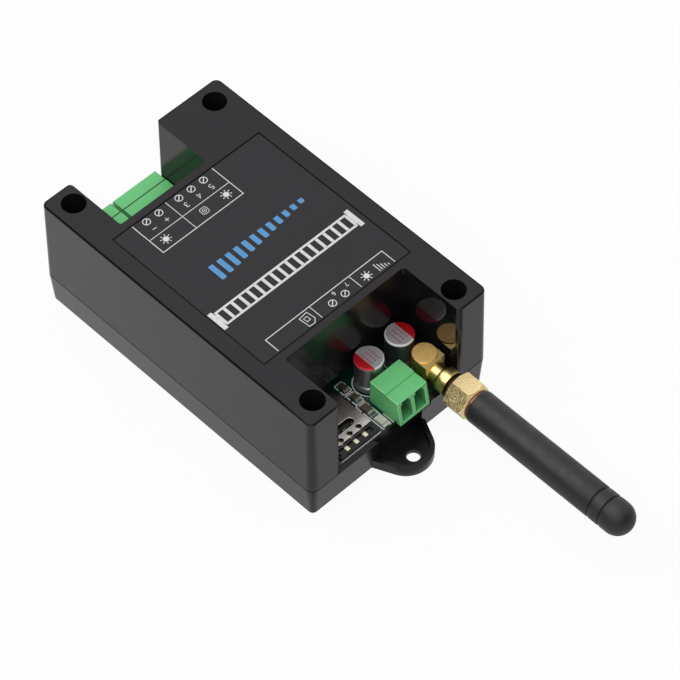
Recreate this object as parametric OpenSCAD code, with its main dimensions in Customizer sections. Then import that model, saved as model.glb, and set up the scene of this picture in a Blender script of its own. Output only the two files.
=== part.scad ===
// Gate and garage door controller: two-part box with screw ears, plug headers, card socket,
// coaxial jack and stub aerial. Millimetres; +X points to the aerial end, +Z up,
// origin under the middle of the base.

/* [Housing] */
// Length of the box at the parting line
body_length = 80.5; // [79:0.5:90]
// Width of the box at the parting line
body_width = 50.1; // [49.5:0.1:58]
// Height of the base up to the parting line
base_height = 8; // [7.6:0.1:9]
// Height of the cover above the parting line
lid_height = 22.4; // [19:0.2:30]
// Inward lean of the base walls at the underside
base_draft = 0.65; // [0.1:0.05:0.8]
// Inward lean of the cover walls at the top
lid_draft = 0.3; // [0.1:0.02:0.6]
// Radius of the upright corners at the parting line
corner_radius = 1.8; // [1.6:0.1:2.4]
// Radius of the top edge
top_round = 0.4; // [0.2:0.05:0.8]
// Wall of the cover
lid_wall = 1.8; // [1.2:0.1:2.2]
// Wall of the base
base_wall = 1.55; // [1.2:0.05:1.7]
// Floor of the base
floor_thickness = 1.5; // [1.2:0.1:2]

/* [Notches] */
// Width of the three slender arms beside the notches
arm_width = 8.35; // [8:0.05:9]
// Free room between the slender arm and the power header
power_margin = 2.67; // [2.4:0.01:3]
// Depth of the power notch
power_notch_depth = 15.85; // [15:0.05:16.5]
// Height of the passage for the board under the inner notch walls
wall_foot = 3.5; // [2.5:0.1:5]
// Radius of the upright edges at the mouths of the notches
mouth_round = 1.4; // [0.4:0.1:2]
// Radius in the inner upright corners of the notches
notch_fillet = 0.6; // [0.2:0.1:1]
// Height of the parting groove between base and cover
seam_gap = 0.25; // [0.1:0.05:0.4]
// Depth of the parting groove
seam_depth = 0.4; // [0.2:0.05:0.6]

/* [Cover screws] */
// Diameter of the screw wells
well_d = 5.35; // [5:0.05:5.6]
// Distance of the wells from the ends
well_end_inset = 4.98; // [4.5:0.01:5.4]
// Distance of the wells from the sides
well_side_inset = 5.25; // [4.9:0.01:5.5]
// Thickness under the screw heads
well_floor = 2; // [1.2:0.1:4]
// Shank diameter of the cover screws
lid_screw_d = 2.6; // [2:0.1:2.8]
// Head diameter of the cover screws
lid_screw_head_d = 4.6; // [4:0.1:4.7]
// Diameter of the screw bosses in the base
boss_d = 5.6; // [5.2:0.1:6]

/* [Label] */
// Distance of the label recess from the notches
label_end = 1.75; // [1.5:0.05:3]
// Distance of the label recess from the sides
label_margin = 4.45; // [4:0.05:7]
// Depth of the label recess
label_depth = 0.4; // [0.3:0.05:0.6]
// Groove round the label plate
label_groove = 0.25; // [0.1:0.05:0.5]

/* [Ears] */
// Reach of the ears beyond the ends
ear_reach = 7.5; // [7:0.1:10]
// Radius of the ear tips
ear_radius = 6; // [5.2:0.1:6.6]
// Angle of the ear flanks
ear_angle = 65; // [60:1:72]
// Height of the ear rims
ear_height = 2.5; // [2:0.1:3.5]
// Width of the ear rims
ear_rim = 1; // [0.8:0.1:1.4]
// Thickness of the ear floors
ear_floor = 1.15; // [0.9:0.05:1.6]
// Diameter of the mounting holes
ear_hole_d = 3; // [2.6:0.1:4]
// Distance of the mounting holes from the ends
ear_hole_reach = 3.75; // [3.2:0.05:4.5]
// Depth of the flat let into the end walls over the ears
end_recess = 0.5; // [0.2:0.05:0.6]

/* [Board] */
// Thickness of the circuit board
board_thickness = 1.6; // [1.2:0.1:1.8]
// Height of the posts under the board
post_height = 4; // [3.8:0.1:4.2]
// Diameter of the posts
post_d = 4.4; // [4:0.1:5]
// Distance of the posts from the middle of the length
post_x = 28; // [26.5:0.1:28.4]

/* [Plug headers] */
// Pitch of the header pins
pitch = 3.81; // [3.6:0.01:3.9]
// Distance from the last pin to the end of a header
header_end = 2.3; // [2.2:0.05:2.4]
// Height of the headers
header_height = 6.6; // [6:0.1:8]
// Depth of the headers at the board
header_depth = 9.05; // [8.6:0.05:9.3]
// Backward lean of the header fronts
header_rake = 1.1; // [0.2:0.1:1.5]
// Width of a plug slot
slot_width = 2.9; // [2.5:0.05:3.1]
// Thickness of the back wall of the headers
header_back = 2.4; // [2:0.1:3]
// Side of the square pins
header_pin = 0.8; // [0.6:0.05:1]
// Reach of the power end headers beyond the box
power_overhang = 1.85; // [1.6:0.05:2.4]
// Place of the switch header, as a share of half the notch width
switch_share = 0.2635; // [0.255:0.0005:0.27]

/* [Capacitors] */
// Diameter of the capacitor cans
cap_d = 6.3; // [5.8:0.1:6.4]
// Height of the capacitors
cap_height = 8.6; // [7:0.1:12]
// Pitch of the capacitor leads
cap_lead_pitch = 2.5; // [2:0.1:3]
// Place of the first capacitor, as a share of half the notch width
cap_share = 0.2036; // [0.16:0.0002:0.22]
// Distance between the capacitors, as a share of half the notch width
cap_spacing_share = 0.527; // [0.5:0.001:0.55]

/* [Coaxial jack] */
// Place of the jack, as a share of half the notch width
jack_share = 0.7844; // [0.76:0.0004:0.8]
// Width of the jack body
jack_width = 5.4; // [5.2:0.1:5.8]
// Length of the jack body
jack_length = 6; // [5.8:0.1:6.6]
// Height of the jack body
jack_height = 7.05; // [6.4:0.05:7.5]
// Height of the jack axis over the board
jack_axis = 3.97; // [3.7:0.01:4.2]
// Diameter of the jack thread
thread_d = 6.2; // [6:0.05:6.3]
// Pitch of the jack thread
thread_pitch = 0.7056; // [0.6:0.0001:0.8]

/* [Aerial] */
// Size of the coupling nut across its flats
nut_flats = 7.8; // [7.4:0.1:9]
// Length of the coupling nut
nut_length = 5.6; // [5.4:0.1:7]
// Diameter of the rubber sleeve
sleeve_d = 7.5; // [7:0.1:9]
// Length of the rubber sleeve
sleeve_length = 42.6; // [40:0.1:60]
// Depth of the grooves near the tip
groove_depth = 0.35; // [0.2:0.05:0.6]
// Diameter of the copper-coloured ring
ring_d = 6.5; // [5.6:0.1:7]
// Diameter of the coil inside the sleeve
coil_d = 3.9; // [3.4:0.1:4]
// Number of coil turns
coil_turns = 12; // [8:1:16]

/* [Card socket] */
// Width of the card socket
socket_width = 10.9; // [10.7:0.05:11.1]
// Length of the card tray
tray_length = 14; // [13.6:0.1:14.4]
// Length of the card cover
cover_length = 11; // [10.4:0.1:11.4]
// Height of the closed cover over the board
cover_height = 1.3; // [1.25:0.05:1.6]
// Place of the card socket, as a share of half the notch width
socket_share = -0.542; // [-0.56:0.001:-0.53]

/* [Reset switch] */
// Side of the reset switch
switch_side = 6; // [5:0.1:6.4]
// Height of the reset switch body
switch_height = 3.4; // [3.2:0.1:4]
// Diameter of the reset button
button_d = 3.4; // [2.8:0.1:3.6]
// Height of the reset button over the switch
button_rise = 1.4; // [0.8:0.1:3]

/* [Hidden] */
$fn = 64;

// Clearances
over = 1;
fit_gap = 0.05;
part_gap = 0.15;
cap_gap = 0.35;
header_gap = 0.55;

// Heights
end_x = body_length / 2;
side_y = body_width / 2;
top_z = base_height + lid_height;
board_z = floor_thickness + post_height;
board_top = board_z + board_thickness;
roof_z = top_z - lid_wall - label_depth;

// Notches
switch_overhang = -0.15;
switch_back = end_x + switch_overhang - header_depth;
power_back = end_x + power_overhang - header_depth;
antenna_notch_x = switch_back - cap_d - 2 * cap_gap;
power_notch_x = end_x - power_notch_depth;
notch_y = side_y - arm_width;
function header_width(ways) = (ways - 1) * pitch + 2 * header_end;
power_notch_y = -notch_y + power_margin + header_width(2) + header_gap + header_width(3) + part_gap;
switch_y = switch_share * notch_y;
cap_y = cap_share * notch_y;
cap_spacing = cap_spacing_share * notch_y;
jack_y = jack_share * notch_y;
socket_y = socket_share * notch_y;

// Label
mouth_blend = 0.03;
label_x = (antenna_notch_x - power_notch_x) / 2;
label_length = antenna_notch_x + power_notch_x - 2 * label_end;
label_width = body_width - 2 * label_margin;

// Screws
well_x = end_x - well_end_inset;
well_y = side_y - well_side_inset;
seat_z = base_height + well_floor;
lid_screw_head = 1.6;
lid_screw_recess = 1.2;
pilot_floor = 0.6;
post_wall = 1.2;
post_inset = 4.3;
post_y = side_y - post_inset;
board_screw_d = 2;
board_screw_head_d = 3.8;
board_screw_head = 1.3;

// Board outline
board_x = end_x - base_wall - part_gap - base_draft * (base_height - board_top) / base_height;
board_y = side_y - base_wall - part_gap - base_draft;
board_cut_x = well_x - boss_d / 2 - 2 * part_gap;
board_cut_y = well_y - boss_d / 2 - 2 * part_gap;

// Headers
header_step = 0.15;
header_step_x = header_depth - header_rake - 3.27;
header_groove = 0.15;
header_groove_z = header_height - 0.28;
slot_floor = 0.7;
slot_nub = 0.45;
slot_nub_z = header_height - 1.3;
slot_top = header_height - 0.62;
pin_z = 3.2;
pin_leg_x = 0.8;
pin_tip = header_depth - header_rake - 2;
pin_tail = 1.2;
pin_hole_r = header_pin * 0.5 * sqrt(2) + fit_gap;
relay_y = power_notch_y - part_gap - header_width(3) / 2;
power_y = relay_y - header_width(3) / 2 - header_gap - header_width(2) / 2;

// Capacitors
cap_x = antenna_notch_x + cap_gap + cap_d / 2;
cap_lift = 0.3;
cap_wall = 0.25;
cap_seal = 1.4;
cap_bevel = 0.35;
cap_groove = 0.3;
cap_groove_z = 1.8;
cap_groove_half = 0.4;
cap_groove_floor = 0.1;
cap_foot = 0.2;
cap_lip = 0.3;
cap_head_gap = 0.6;
cap_lead_r = 0.25;
function cap_place(i) = [cap_x, cap_y + i * cap_spacing, board_top];

// Coaxial jack
jack_r = jack_width / 2;
jack_x = switch_back + jack_r + part_gap;
jack_front = switch_back + jack_length;
jack_z = board_top + jack_axis;
barrel_r = 2.15;
collar_r = 2.95;
relief_r = 1.9;
barrel_length = 2.3;
relief_length = 0.3;
collar_length = 2.5;
runout_r = 2.4;
runout_length = 1.05;
thread_x = jack_front + barrel_length + relief_length + collar_length + runout_length;
thread_turns = 4.95;
thread_length = thread_turns * thread_pitch;
thread_end = thread_x + thread_length;
jack_bore_r = 1.45;
contact_r = 0.7;
contact_leg_r = 0.45;
socket_r = 0.47;
jack_cap_h = 0.25;
jack_cap_r = jack_r - fit_gap / 2;
jack_leg = 0.9;
jack_leg_hole_r = jack_leg * 0.5 * sqrt(2) + fit_gap;
jack_leg_y = jack_r - 0.7;
jack_leg_front = jack_front - 0.7;

// Aerial
nut_stop = 0.05;
nut_bevel = 0.3;
nut_back_rise = 0.6;
nut_face_rise = 0.95;
nut_turn = 24;
nut_x = thread_x + nut_stop;
nut_end = nut_x + nut_length;
nut_bore_r = thread_d / 2 + 0.1;
flange_x = thread_end + part_gap;
flange_h = 0.8;
flange_r = thread_d / 2 - 0.1;
nut_shoulder = flange_x + flange_h + fit_gap;
neck_r = 1.85;
neck_length = 4.6;
ring_x = nut_end + fit_gap;
ring_h = 0.3;
sleeve_x = ring_x + ring_h + fit_gap;
sleeve_r = sleeve_d / 2;
sleeve_end = sleeve_x + sleeve_length;
sleeve_bevel = 0.45;
neck_end = sleeve_x + neck_length;
groove_half = 0.3;
groove_end = 5.94;
groove_pitch = 2.92;
groove_places = [sleeve_length - groove_end - groove_pitch, sleeve_length - groove_end];
bush_r = 1.45;
plug_pin_r = 0.44;
pin_reach = 3;
coil_wire_r = 0.35;
coil_space_r = coil_d / 2 + coil_wire_r + fit_gap;
coil_lead = 0.9;
coil_x = neck_end + coil_lead;
coil_tip = groove_end + groove_pitch + 2.1;
coil_length = sleeve_length - neck_length - coil_tip;
coil_sides = 6;
coil_steps = 10;

// Card socket
tray_x = antenna_notch_x - 0.2;
tray_end = tray_x + tray_length;
tray_floor = 0.35;
sheet = 0.2;
cover_end = tray_x + 0.55 + cover_length;
hinge_x = tray_x + 1.1;
hinge_z = cover_height - 0.45;
hinge_r = 0.22;
knuckle_r = 0.38;
knuckle_w = 0.3;
lug_w = 0.6;
lug_half = 0.75;
cover_half = socket_width / 2 - 0.1;
knuckle_y = socket_width / 2 - lug_w - part_gap;
skirt_x = hinge_x + 1.2;
skirt_z = tray_floor + 0.1;
guide_y = 4.45;
guide_w = 0.45;
contact_pitch = 2.54;
contact_w = 0.9;
contact_sheet = 0.12;
contact_foot = 0.4;
contact_tail = 1.3;
contact_ramp = 2;
contact_tip = 0.4;
contact_row = 5.6;
bar_start = 0.1;
bar_width = 0.45;
tray_wall = 0.5;
cover_hole_r = 0.6;
cover_hole_x = cover_end - 0.75;
cover_slot_x = cover_end - 2.87;
cover_slot_r = 0.95;
cover_slot_half = 2;

// Reset switch and lamps
reset_x = -(power_back + power_notch_x) / 2;
reset_side = 9.2;
reset_y = power_notch_y - reset_side;
button_r = button_d / 2;
button_flange_r = button_r + 0.4;
switch_cavity_z = 0.8;
switch_top = 0.6;
button_flange = 0.5;
run_side = 3.5;
run_y = run_side - notch_y;
relay_lamp_side = 1.9;
relay_lamp_y = power_notch_y - relay_lamp_side;
lamp_size = [3.2, 1.6, 0.9];

// Parts under the cover
relay_size = [18.6, 15.4, 15];
relay_gap = 0.5;
relay_side = 12.25;
relay_at = [-power_notch_x + lid_wall + relay_gap + relay_size[0] / 2,
    board_y - relay_side - relay_size[1] / 2, board_top];
relay_wall = 0.8;
relay_base_h = 1.2;
relay_pin_r = 0.45;
relay_pin_spots = [[-7, -5], [-7, 5], [-2, -5], [-2, 5], [7, 0]];
modem_side = 23.4;
modem_board_h = 0.8;
modem_edge = 2.25;
modem_at = [antenna_notch_x - lid_wall - 2 * part_gap - modem_side / 2,
    modem_edge + modem_side / 2 - board_y, board_top];
shield_rim = 0.8;
shield_side = modem_side - 2 * shield_rim;
shield_h = 2;
chip_side = 7;
chip_foot = 1;
chip_gap = 3.8;
chip_at = [8, modem_at[1] + modem_side / 2 + chip_gap + chip_side / 2 + chip_foot, board_top];
chip_h = 1.3;
chip_lead_pitch = 0.8;
chip_lead_w = 0.3;
chip_leads = 7;
regulator_side = 7.95;
regulator_at = [-0.5, board_y - regulator_side, board_top];
regulator_size = [4.9, 3.9, 1.5];
regulator_leads = 4;
regulator_pitch = 1.27;
inductor_edge = 6.55;
inductor_at = [-9.5, board_y - inductor_edge, board_top];
inductor_side = 7;
inductor_h = 3.6;
diode_at = [-18, board_y - inductor_edge, board_top];
diode_size = [4.4, 2.6, 2.1];
diode_tab = [0.8, 1.5, 0.9];
small_chip = [2, 1.25, 0.8];
large_chip = [3.2, 1.6, 0.7];
row_y = (switch_y - header_width(2) / 2 + socket_y + socket_width / 2) / 2;
row_step = 0.3;
row_far_y = row_y + row_step;
lamp_x = end_x - 3.8;
row_x = end_x - 8.15;

// A rounded plate standing on Z = 0
module plate(l, w, h, r) {
    translate([-l / 2 + r, -w / 2, 0]) cube([l - 2 * r, w, h]);
    translate([-l / 2, -w / 2 + r, 0]) cube([l, w - 2 * r, h]);
    for (sx = [-1, 1])
        for (sy = [-1, 1])
            translate([sx * (l / 2 - r), sy * (w / 2 - r), 0])
                cylinder(r = r, h = h);
}

// A block centred in X and Y, standing on its own foot
module slab(size) {
    translate([-size[0] / 2, -size[1] / 2, 0]) cube(size);
}

// A box between two corners
module span(lo, hi) {
    translate(lo) cube([hi[0] - lo[0], hi[1] - lo[1], hi[2] - lo[2]]);
}

// Children repeated at the four corners of a rectangle
module four(x, y) {
    for (sx = [-1, 1])
        for (sy = [-1, 1])
            translate([sx * x, sy * y, 0])
                children();
}

// Children mirrored into all four corners
module corners() {
    for (mx = [0, 1])
        for (my = [0, 1])
            mirror([mx, 0, 0]) mirror([0, my, 0]) children();
}

// Children laid along +X on the aerial axis
module on_axis(x) {
    translate([x, jack_y, jack_z]) rotate([0, 90, 0]) children();
}

// Outer shape of the base: leans inwards to the underside
module base_outer() {
    hull()
        four(end_x - corner_radius, side_y - corner_radius)
            cylinder(r1 = corner_radius - base_draft, r2 = corner_radius, h = base_height, $fn = 32);
}

// Outer shape of the cover: leans inwards to the top and ends in a rounded edge
module lid_outer() {
    steps = 3;
    rim_r = corner_radius - lid_draft;
    hull()
        four(end_x - corner_radius, side_y - corner_radius) {
            translate([0, 0, base_height])
                cylinder(r1 = corner_radius, r2 = rim_r, h = lid_height - top_round, $fn = 32);
            for (i = [0 : steps - 1])
                translate([0, 0, top_z - top_round + top_round * sin(90 * i / steps)])
                    cylinder(r1 = rim_r - top_round * (1 - cos(90 * i / steps)),
                        r2 = rim_r - top_round * (1 - cos(90 * (i + 1) / steps)),
                        h = top_round * (sin(90 * (i + 1) / steps) - sin(90 * i / steps)), $fn = 32);
        }
}

// Flat outline of one ear, drawn in from its edge
function ear_x() = end_x + ear_reach - ear_radius;
function ear_flank(x, inset) = (ear_radius - inset) * sin(ear_angle)
    + (ear_x() + (ear_radius - inset) * cos(ear_angle) - x) * cos(ear_angle) / sin(ear_angle);
module ear_outline(root_x, inset) {
    r = ear_radius - inset;
    tip_x = ear_x() + r * cos(ear_angle);
    root = ear_flank(root_x, inset);
    tip = r * sin(ear_angle);
    translate([ear_x(), 0]) circle(r = r);
    polygon([[root_x, -root], [tip_x, -tip], [tip_x, tip], [root_x, root]]);
}

recess_x = end_x - base_draft - end_recess;

module ear() {
    linear_extrude(height = ear_height) ear_outline(end_x - base_draft, 0);
}

module ear_pocket() {
    translate([0, 0, ear_floor])
        linear_extrude(height = base_height + over)
            intersection() {
                ear_outline(recess_x, ear_rim);
                translate([recess_x, -body_width]) square([body_width, 2 * body_width]);
            }
    translate([end_x + ear_hole_reach, 0, -over]) cylinder(d = ear_hole_d, h = ear_floor + 2 * over);
}

// Opening in an end wall for a header that stands on the board
module end_cut(side, y, width, z) {
    scale_x = side > 0 ? 0 : 1;
    mirror([scale_x, 0, 0])
        span([board_x - over, y - width / 2, z], [end_x + over, y + width / 2, base_height + over]);
}

module base_shell() {
    color("dimgray")
    difference() {
        union() {
            difference() {
                base_outer();
                translate([0, 0, floor_thickness])
                    plate(body_length - 2 * base_wall, body_width - 2 * base_wall - 2 * base_draft,
                        base_height, corner_radius / 2);
            }
            intersection() {
                base_outer();
                corners()
                    translate([well_x, well_y, 0]) {
                        cylinder(d = boss_d, h = base_height);
                        translate([0, -base_wall / 2, 0]) cube([well_end_inset, base_wall, base_height]);
                        translate([-base_wall / 2, 0, 0]) cube([base_wall, well_side_inset, base_height]);
                    }
            }
            four(post_x, post_y) cylinder(d = post_d, h = board_z);
            ear();
            mirror([1, 0, 0]) ear();
        }
        ear_pocket();
        mirror([1, 0, 0]) ear_pocket();
        end_cut(1, switch_y, header_width(2) + 2 * part_gap, board_top - part_gap);
        end_cut(-1, power_y, header_width(2) + 2 * part_gap, board_top - part_gap);
        end_cut(-1, relay_y, header_width(3) + 2 * part_gap, board_top - part_gap);
        end_cut(1, jack_y, 2 * collar_r + 4 * part_gap, jack_z - collar_r - 2 * part_gap);
        four(well_x, well_y)
            translate([0, 0, floor_thickness + pilot_floor])
                cylinder(d = lid_screw_d + 2 * fit_gap, h = base_height);
        four(post_x, post_y)
            translate([0, 0, floor_thickness])
                cylinder(d = board_screw_d + 2 * fit_gap, h = base_height);
    }
}

module notch_walls() {
    span([antenna_notch_x - lid_wall, -notch_y - lid_wall, base_height + wall_foot],
        [antenna_notch_x, notch_y + lid_wall, top_z]);
    for (s = [-1, 1])
        translate([antenna_notch_x - lid_wall, s * (notch_y + lid_wall / 2) - lid_wall / 2, base_height])
            cube([end_x - antenna_notch_x + lid_wall, lid_wall, lid_height]);
    span([-power_notch_x, -notch_y - lid_wall, base_height + wall_foot],
        [-power_notch_x + lid_wall, power_notch_y + lid_wall, top_z]);
    span([-end_x, -notch_y - lid_wall, base_height], [-power_notch_x + lid_wall, -notch_y, top_z]);
    span([-end_x, power_notch_y, base_height], [-power_notch_x + lid_wall, power_notch_y + lid_wall, top_z]);
}

// One notch, open towards +X, with fillets in its two inner corners
module notch_cut(inner_x, low_y, high_y) {
    r = notch_fillet;
    span([inner_x + r, low_y, base_height - over], [end_x + over, high_y, top_z + over]);
    span([inner_x, low_y + r, base_height - over], [end_x, high_y - r, top_z + over]);
    for (y = [low_y + r, high_y - r])
        translate([inner_x + r, y, base_height - over]) cylinder(r = r, h = lid_height + 2 * over);
}

// What the rounding takes off one mouth edge; it leans with the end face, its arm lies towards +Y
module mouth_cut(y) {
    r = mouth_round;
    lean = atan(lid_draft / (lid_height - top_round));
    translate([end_x, y, base_height])
        rotate([0, -lean, 0])
            translate([0, 0, -over])
                linear_extrude(height = lid_height + 2 * over)
                    difference() {
                        translate([mouth_blend - r, -over]) square([r + over, r + over - mouth_blend]);
                        translate([mouth_blend - r, r - mouth_blend]) circle(r = r);
                    }
}

module notch_openings() {
    notch_cut(antenna_notch_x, -notch_y, notch_y);
    mirror([1, 0, 0]) notch_cut(power_notch_x, -notch_y, power_notch_y);
    mouth_cut(notch_y);
    mirror([0, 1, 0]) mouth_cut(notch_y);
    mirror([1, 0, 0]) mouth_cut(power_notch_y);
    mirror([1, 0, 0]) mirror([0, 1, 0]) mouth_cut(notch_y);
}

// Groove round the lower edge of the cover, where it meets the base
module seam_groove() {
    difference() {
        translate([0, 0, base_height - over])
            slab([body_length + 2 * over, body_width + 2 * over, over + seam_gap]);
        translate([0, 0, base_height - 2 * over])
            plate(body_length - 2 * seam_depth, body_width - 2 * seam_depth, 2 * over + 2 * seam_gap,
                corner_radius - seam_depth);
    }
}

module top_cover() {
    lid_inset = lid_wall + lid_draft;
    color("darkslategray")
    difference() {
        intersection() {
            lid_outer();
            union() {
                difference() {
                    translate([-body_length, -body_width, base_height])
                        cube([2 * body_length, 2 * body_width, lid_height]);
                    translate([0, 0, base_height - over])
                        plate(body_length - 2 * lid_inset, body_width - 2 * lid_inset,
                            roof_z - base_height + over, corner_radius / 2);
                }
                notch_walls();
                four(well_x, well_y)
                    translate([0, 0, base_height])
                        cylinder(d = well_d + 2 * post_wall, h = lid_height);
            }
        }
        notch_openings();
        seam_groove();
        four(well_x, well_y) {
            translate([0, 0, seat_z]) cylinder(d = well_d, h = lid_height);
            cylinder(d = lid_screw_d + 4 * fit_gap, h = top_z);
        }
        translate([label_x, 0, top_z - label_depth]) slab([label_length, label_width, label_depth + over]);
    }
}

module label_plate() {
    color("gray")
    translate([label_x, 0, top_z - label_depth])
        slab([label_length - 2 * label_groove, label_width - 2 * label_groove,
            label_depth - label_groove / 5]);
}

module lid_screws() {
    color("silver")
    four(well_x, well_y)
        difference() {
            union() {
                translate([0, 0, seat_z]) cylinder(d = lid_screw_head_d, h = lid_screw_head);
                translate([0, 0, floor_thickness + pilot_floor + part_gap])
                    cylinder(d = lid_screw_d, h = seat_z - floor_thickness - pilot_floor);
            }
            for (turn = [0, 90])
                rotate([0, 0, turn])
                    translate([0, 0, seat_z + lid_screw_head - lid_screw_recess])
                        slab([lid_screw_head_d * 0.6, lid_screw_head * 0.4, lid_screw_head]);
        }
}

module main_board() {
    color("seagreen")
    difference() {
        translate([0, 0, board_z])
            union() {
                slab([2 * board_x, 2 * board_cut_y, board_thickness]);
                slab([2 * board_cut_x, 2 * board_y, board_thickness]);
            }
        four(post_x, post_y) cylinder(d = board_screw_d + 4 * fit_gap, h = top_z);
        for (i = [0, 1])
            header_at(2, 1, switch_y, i) board_drill(pin_hole_r);
        for (i = [0, 1])
            header_at(2, -1, power_y, i) board_drill(pin_hole_r);
        for (i = [0 : 2])
            header_at(3, -1, relay_y, i) board_drill(pin_hole_r);
        for (i = [0, 1])
            for (s = [-1, 1])
                translate(cap_place(i) + [0, s * cap_lead_pitch / 2, 0]) board_drill(cap_lead_r + fit_gap);
        for (s = [-1, 1])
            for (x = [jack_x, jack_leg_front])
                translate([x, jack_y + s * jack_leg_y, board_top]) board_drill(jack_leg_hole_r);
        translate([jack_x, jack_y, board_top]) board_drill(contact_leg_r + fit_gap);
        for (p = relay_pin_spots)
            translate(relay_at + [p[0], p[1], 0]) board_drill(relay_pin_r + fit_gap);
    }
}

module board_drill(r) {
    translate([0, 0, -board_thickness - over]) cylinder(r = r, h = board_thickness + 2 * over);
}

module board_screws() {
    color("lightgray")
    four(post_x, post_y)
        difference() {
            union() {
                translate([0, 0, board_top]) cylinder(d = board_screw_head_d, h = board_screw_head);
                translate([0, 0, floor_thickness + part_gap])
                    cylinder(d = board_screw_d, h = board_top - floor_thickness);
            }
            for (turn = [0, 90])
                rotate([0, 0, turn])
                    translate([0, 0, board_top + board_screw_head * 0.4])
                        slab([board_screw_head_d * 0.6, board_screw_head * 0.4, board_screw_head]);
        }
}

// Places children at the foot of one pin leg of a header
module header_at(ways, side, y, i) {
    header_place(side, y)
        translate([pin_leg_x + header_pin / 2, (i - (ways - 1) / 2) * pitch, 0])
            children();
}

// Places children with their back wall where a header stands on the board
module header_place(side, y) {
    turn = side > 0 ? 0 : 180;
    back = side > 0 ? switch_back : -power_back;
    translate([back, y, board_top]) rotate([0, 0, turn]) children();
}

module header_shell(ways) {
    w = header_width(ways);
    difference() {
        rotate([90, 0, 0])
            linear_extrude(height = w, center = true)
                polygon([[0, 0], [header_depth, 0], [header_depth - header_rake, header_height - header_step],
                    [header_step_x, header_height - header_step], [header_step_x, header_groove_z],
                    [header_step_x - header_groove, header_groove_z],
                    [header_step_x - header_groove, header_height], [0, header_height]]);
        for (i = [0 : ways - 1])
            translate([0, (i - (ways - 1) / 2) * pitch, 0]) header_slot();
    }
}

module header_slot() {
    hole = header_pin + 2 * fit_gap;
    narrow = slot_width - 2 * slot_nub;
    span([header_back, -slot_width / 2, slot_floor], [header_depth + over, slot_width / 2, slot_nub_z]);
    span([header_back, -narrow / 2, slot_floor], [header_depth + over, narrow / 2, slot_top]);
    span([pin_leg_x - fit_gap, -hole / 2, -over],
        [pin_leg_x + header_pin + fit_gap, hole / 2, pin_z + hole / 2]);
    span([pin_leg_x - fit_gap, -hole / 2, pin_z - hole / 2],
        [header_back + over, hole / 2, pin_z + hole / 2]);
}

module header_pins(ways) {
    h = header_pin / 2;
    for (i = [0 : ways - 1])
        translate([0, (i - (ways - 1) / 2) * pitch, 0]) {
            span([pin_leg_x, -h, pin_z - h], [pin_tip, h, pin_z + h]);
            span([pin_leg_x, -h, -board_thickness - pin_tail], [pin_leg_x + header_pin, h, pin_z + h]);
        }
}

module power_header() {
    color("limegreen") header_place(-1, power_y) header_shell(2);
}

module power_header_pins() {
    color("gold") header_place(-1, power_y) header_pins(2);
}

module relay_header() {
    color("limegreen") header_place(-1, relay_y) header_shell(3);
}

module relay_header_pins() {
    color("gold") header_place(-1, relay_y) header_pins(3);
}

module switch_header() {
    color("limegreen") header_place(1, switch_y) header_shell(2);
}

module switch_header_pins() {
    color("gold") header_place(1, switch_y) header_pins(2);
}

module capacitor_cans() {
    r = cap_d / 2;
    inner = r - cap_wall - cap_lip;
    waist = cap_lift + cap_groove_z;
    floor_z = cap_lift + cap_seal + cap_head_gap;
    color("silver")
    for (i = [0, 1])
        translate(cap_place(i))
            rotate_extrude()
                polygon([[0, cap_height], [r - cap_bevel, cap_height], [r, cap_height - cap_bevel],
                    [r, waist + cap_groove_half], [r - cap_groove, waist + cap_groove_floor],
                    [r - cap_groove, waist - cap_groove_floor], [r, waist - cap_groove_half],
                    [r, cap_lift + cap_foot], [r - cap_foot, cap_lift], [inner, cap_lift], [inner, floor_z],
                    [0, floor_z]]);
}

module capacitor_seals() {
    r = cap_d / 2 - cap_wall - cap_lip - fit_gap;
    color("black")
    for (i = [0, 1])
        translate(cap_place(i))
            difference() {
                cylinder(r = r, h = cap_lift + cap_seal);
                for (s = [-1, 1])
                    translate([0, s * cap_lead_pitch / 2, -over])
                        cylinder(r = cap_lead_r + fit_gap, h = cap_seal + cap_lift + 2 * over);
            }
}

module capacitor_leads() {
    color("silver")
    for (i = [0, 1])
        for (s = [-1, 1])
            translate(cap_place(i) + [0, s * cap_lead_pitch / 2, -board_thickness - pin_tail])
                cylinder(r = cap_lead_r, h = board_thickness + pin_tail + cap_lift + cap_seal);
}

module jack_body() {
    inside_r = jack_bore_r + fit_gap;
    color("goldenrod")
    difference() {
        union() {
            translate([jack_x, jack_y, board_top]) cylinder(r = jack_r, h = jack_height);
            span([jack_x, jack_y - jack_r, board_top],
                [jack_front, jack_y + jack_r, board_top + jack_height]);
            on_axis(jack_front - over) cylinder(r = barrel_r, h = barrel_length + over);
            on_axis(jack_front) cylinder(r = relief_r, h = barrel_length + relief_length + over);
            on_axis(jack_front + barrel_length + relief_length) cylinder(r = collar_r, h = collar_length);
            on_axis(thread_x - runout_length - over) cylinder(r = runout_r, h = runout_length + 2 * over);
            on_axis(thread_x) cylinder(d = thread_d, h = thread_length);
            for (s = [-1, 1])
                for (x = [jack_x, jack_leg_front])
                    translate([x, jack_y + s * jack_leg_y, board_z - pin_tail])
                        slab([jack_leg, jack_leg, board_thickness + pin_tail + over]);
        }
        on_axis(jack_x) cylinder(r = inside_r, h = thread_end - jack_x + over);
        translate([jack_x, jack_y, board_top - over]) cylinder(r = inside_r, h = jack_axis + inside_r + over);
    }
}

module jack_cap() {
    color("gold")
    translate([jack_x, jack_y, board_top + jack_height])
        rotate_extrude()
            polygon([[0, 0], [jack_cap_r, 0], [jack_cap_r, jack_cap_h * 0.6],
                [jack_cap_r - jack_cap_h * 0.4, jack_cap_h], [0, jack_cap_h]]);
}

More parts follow.
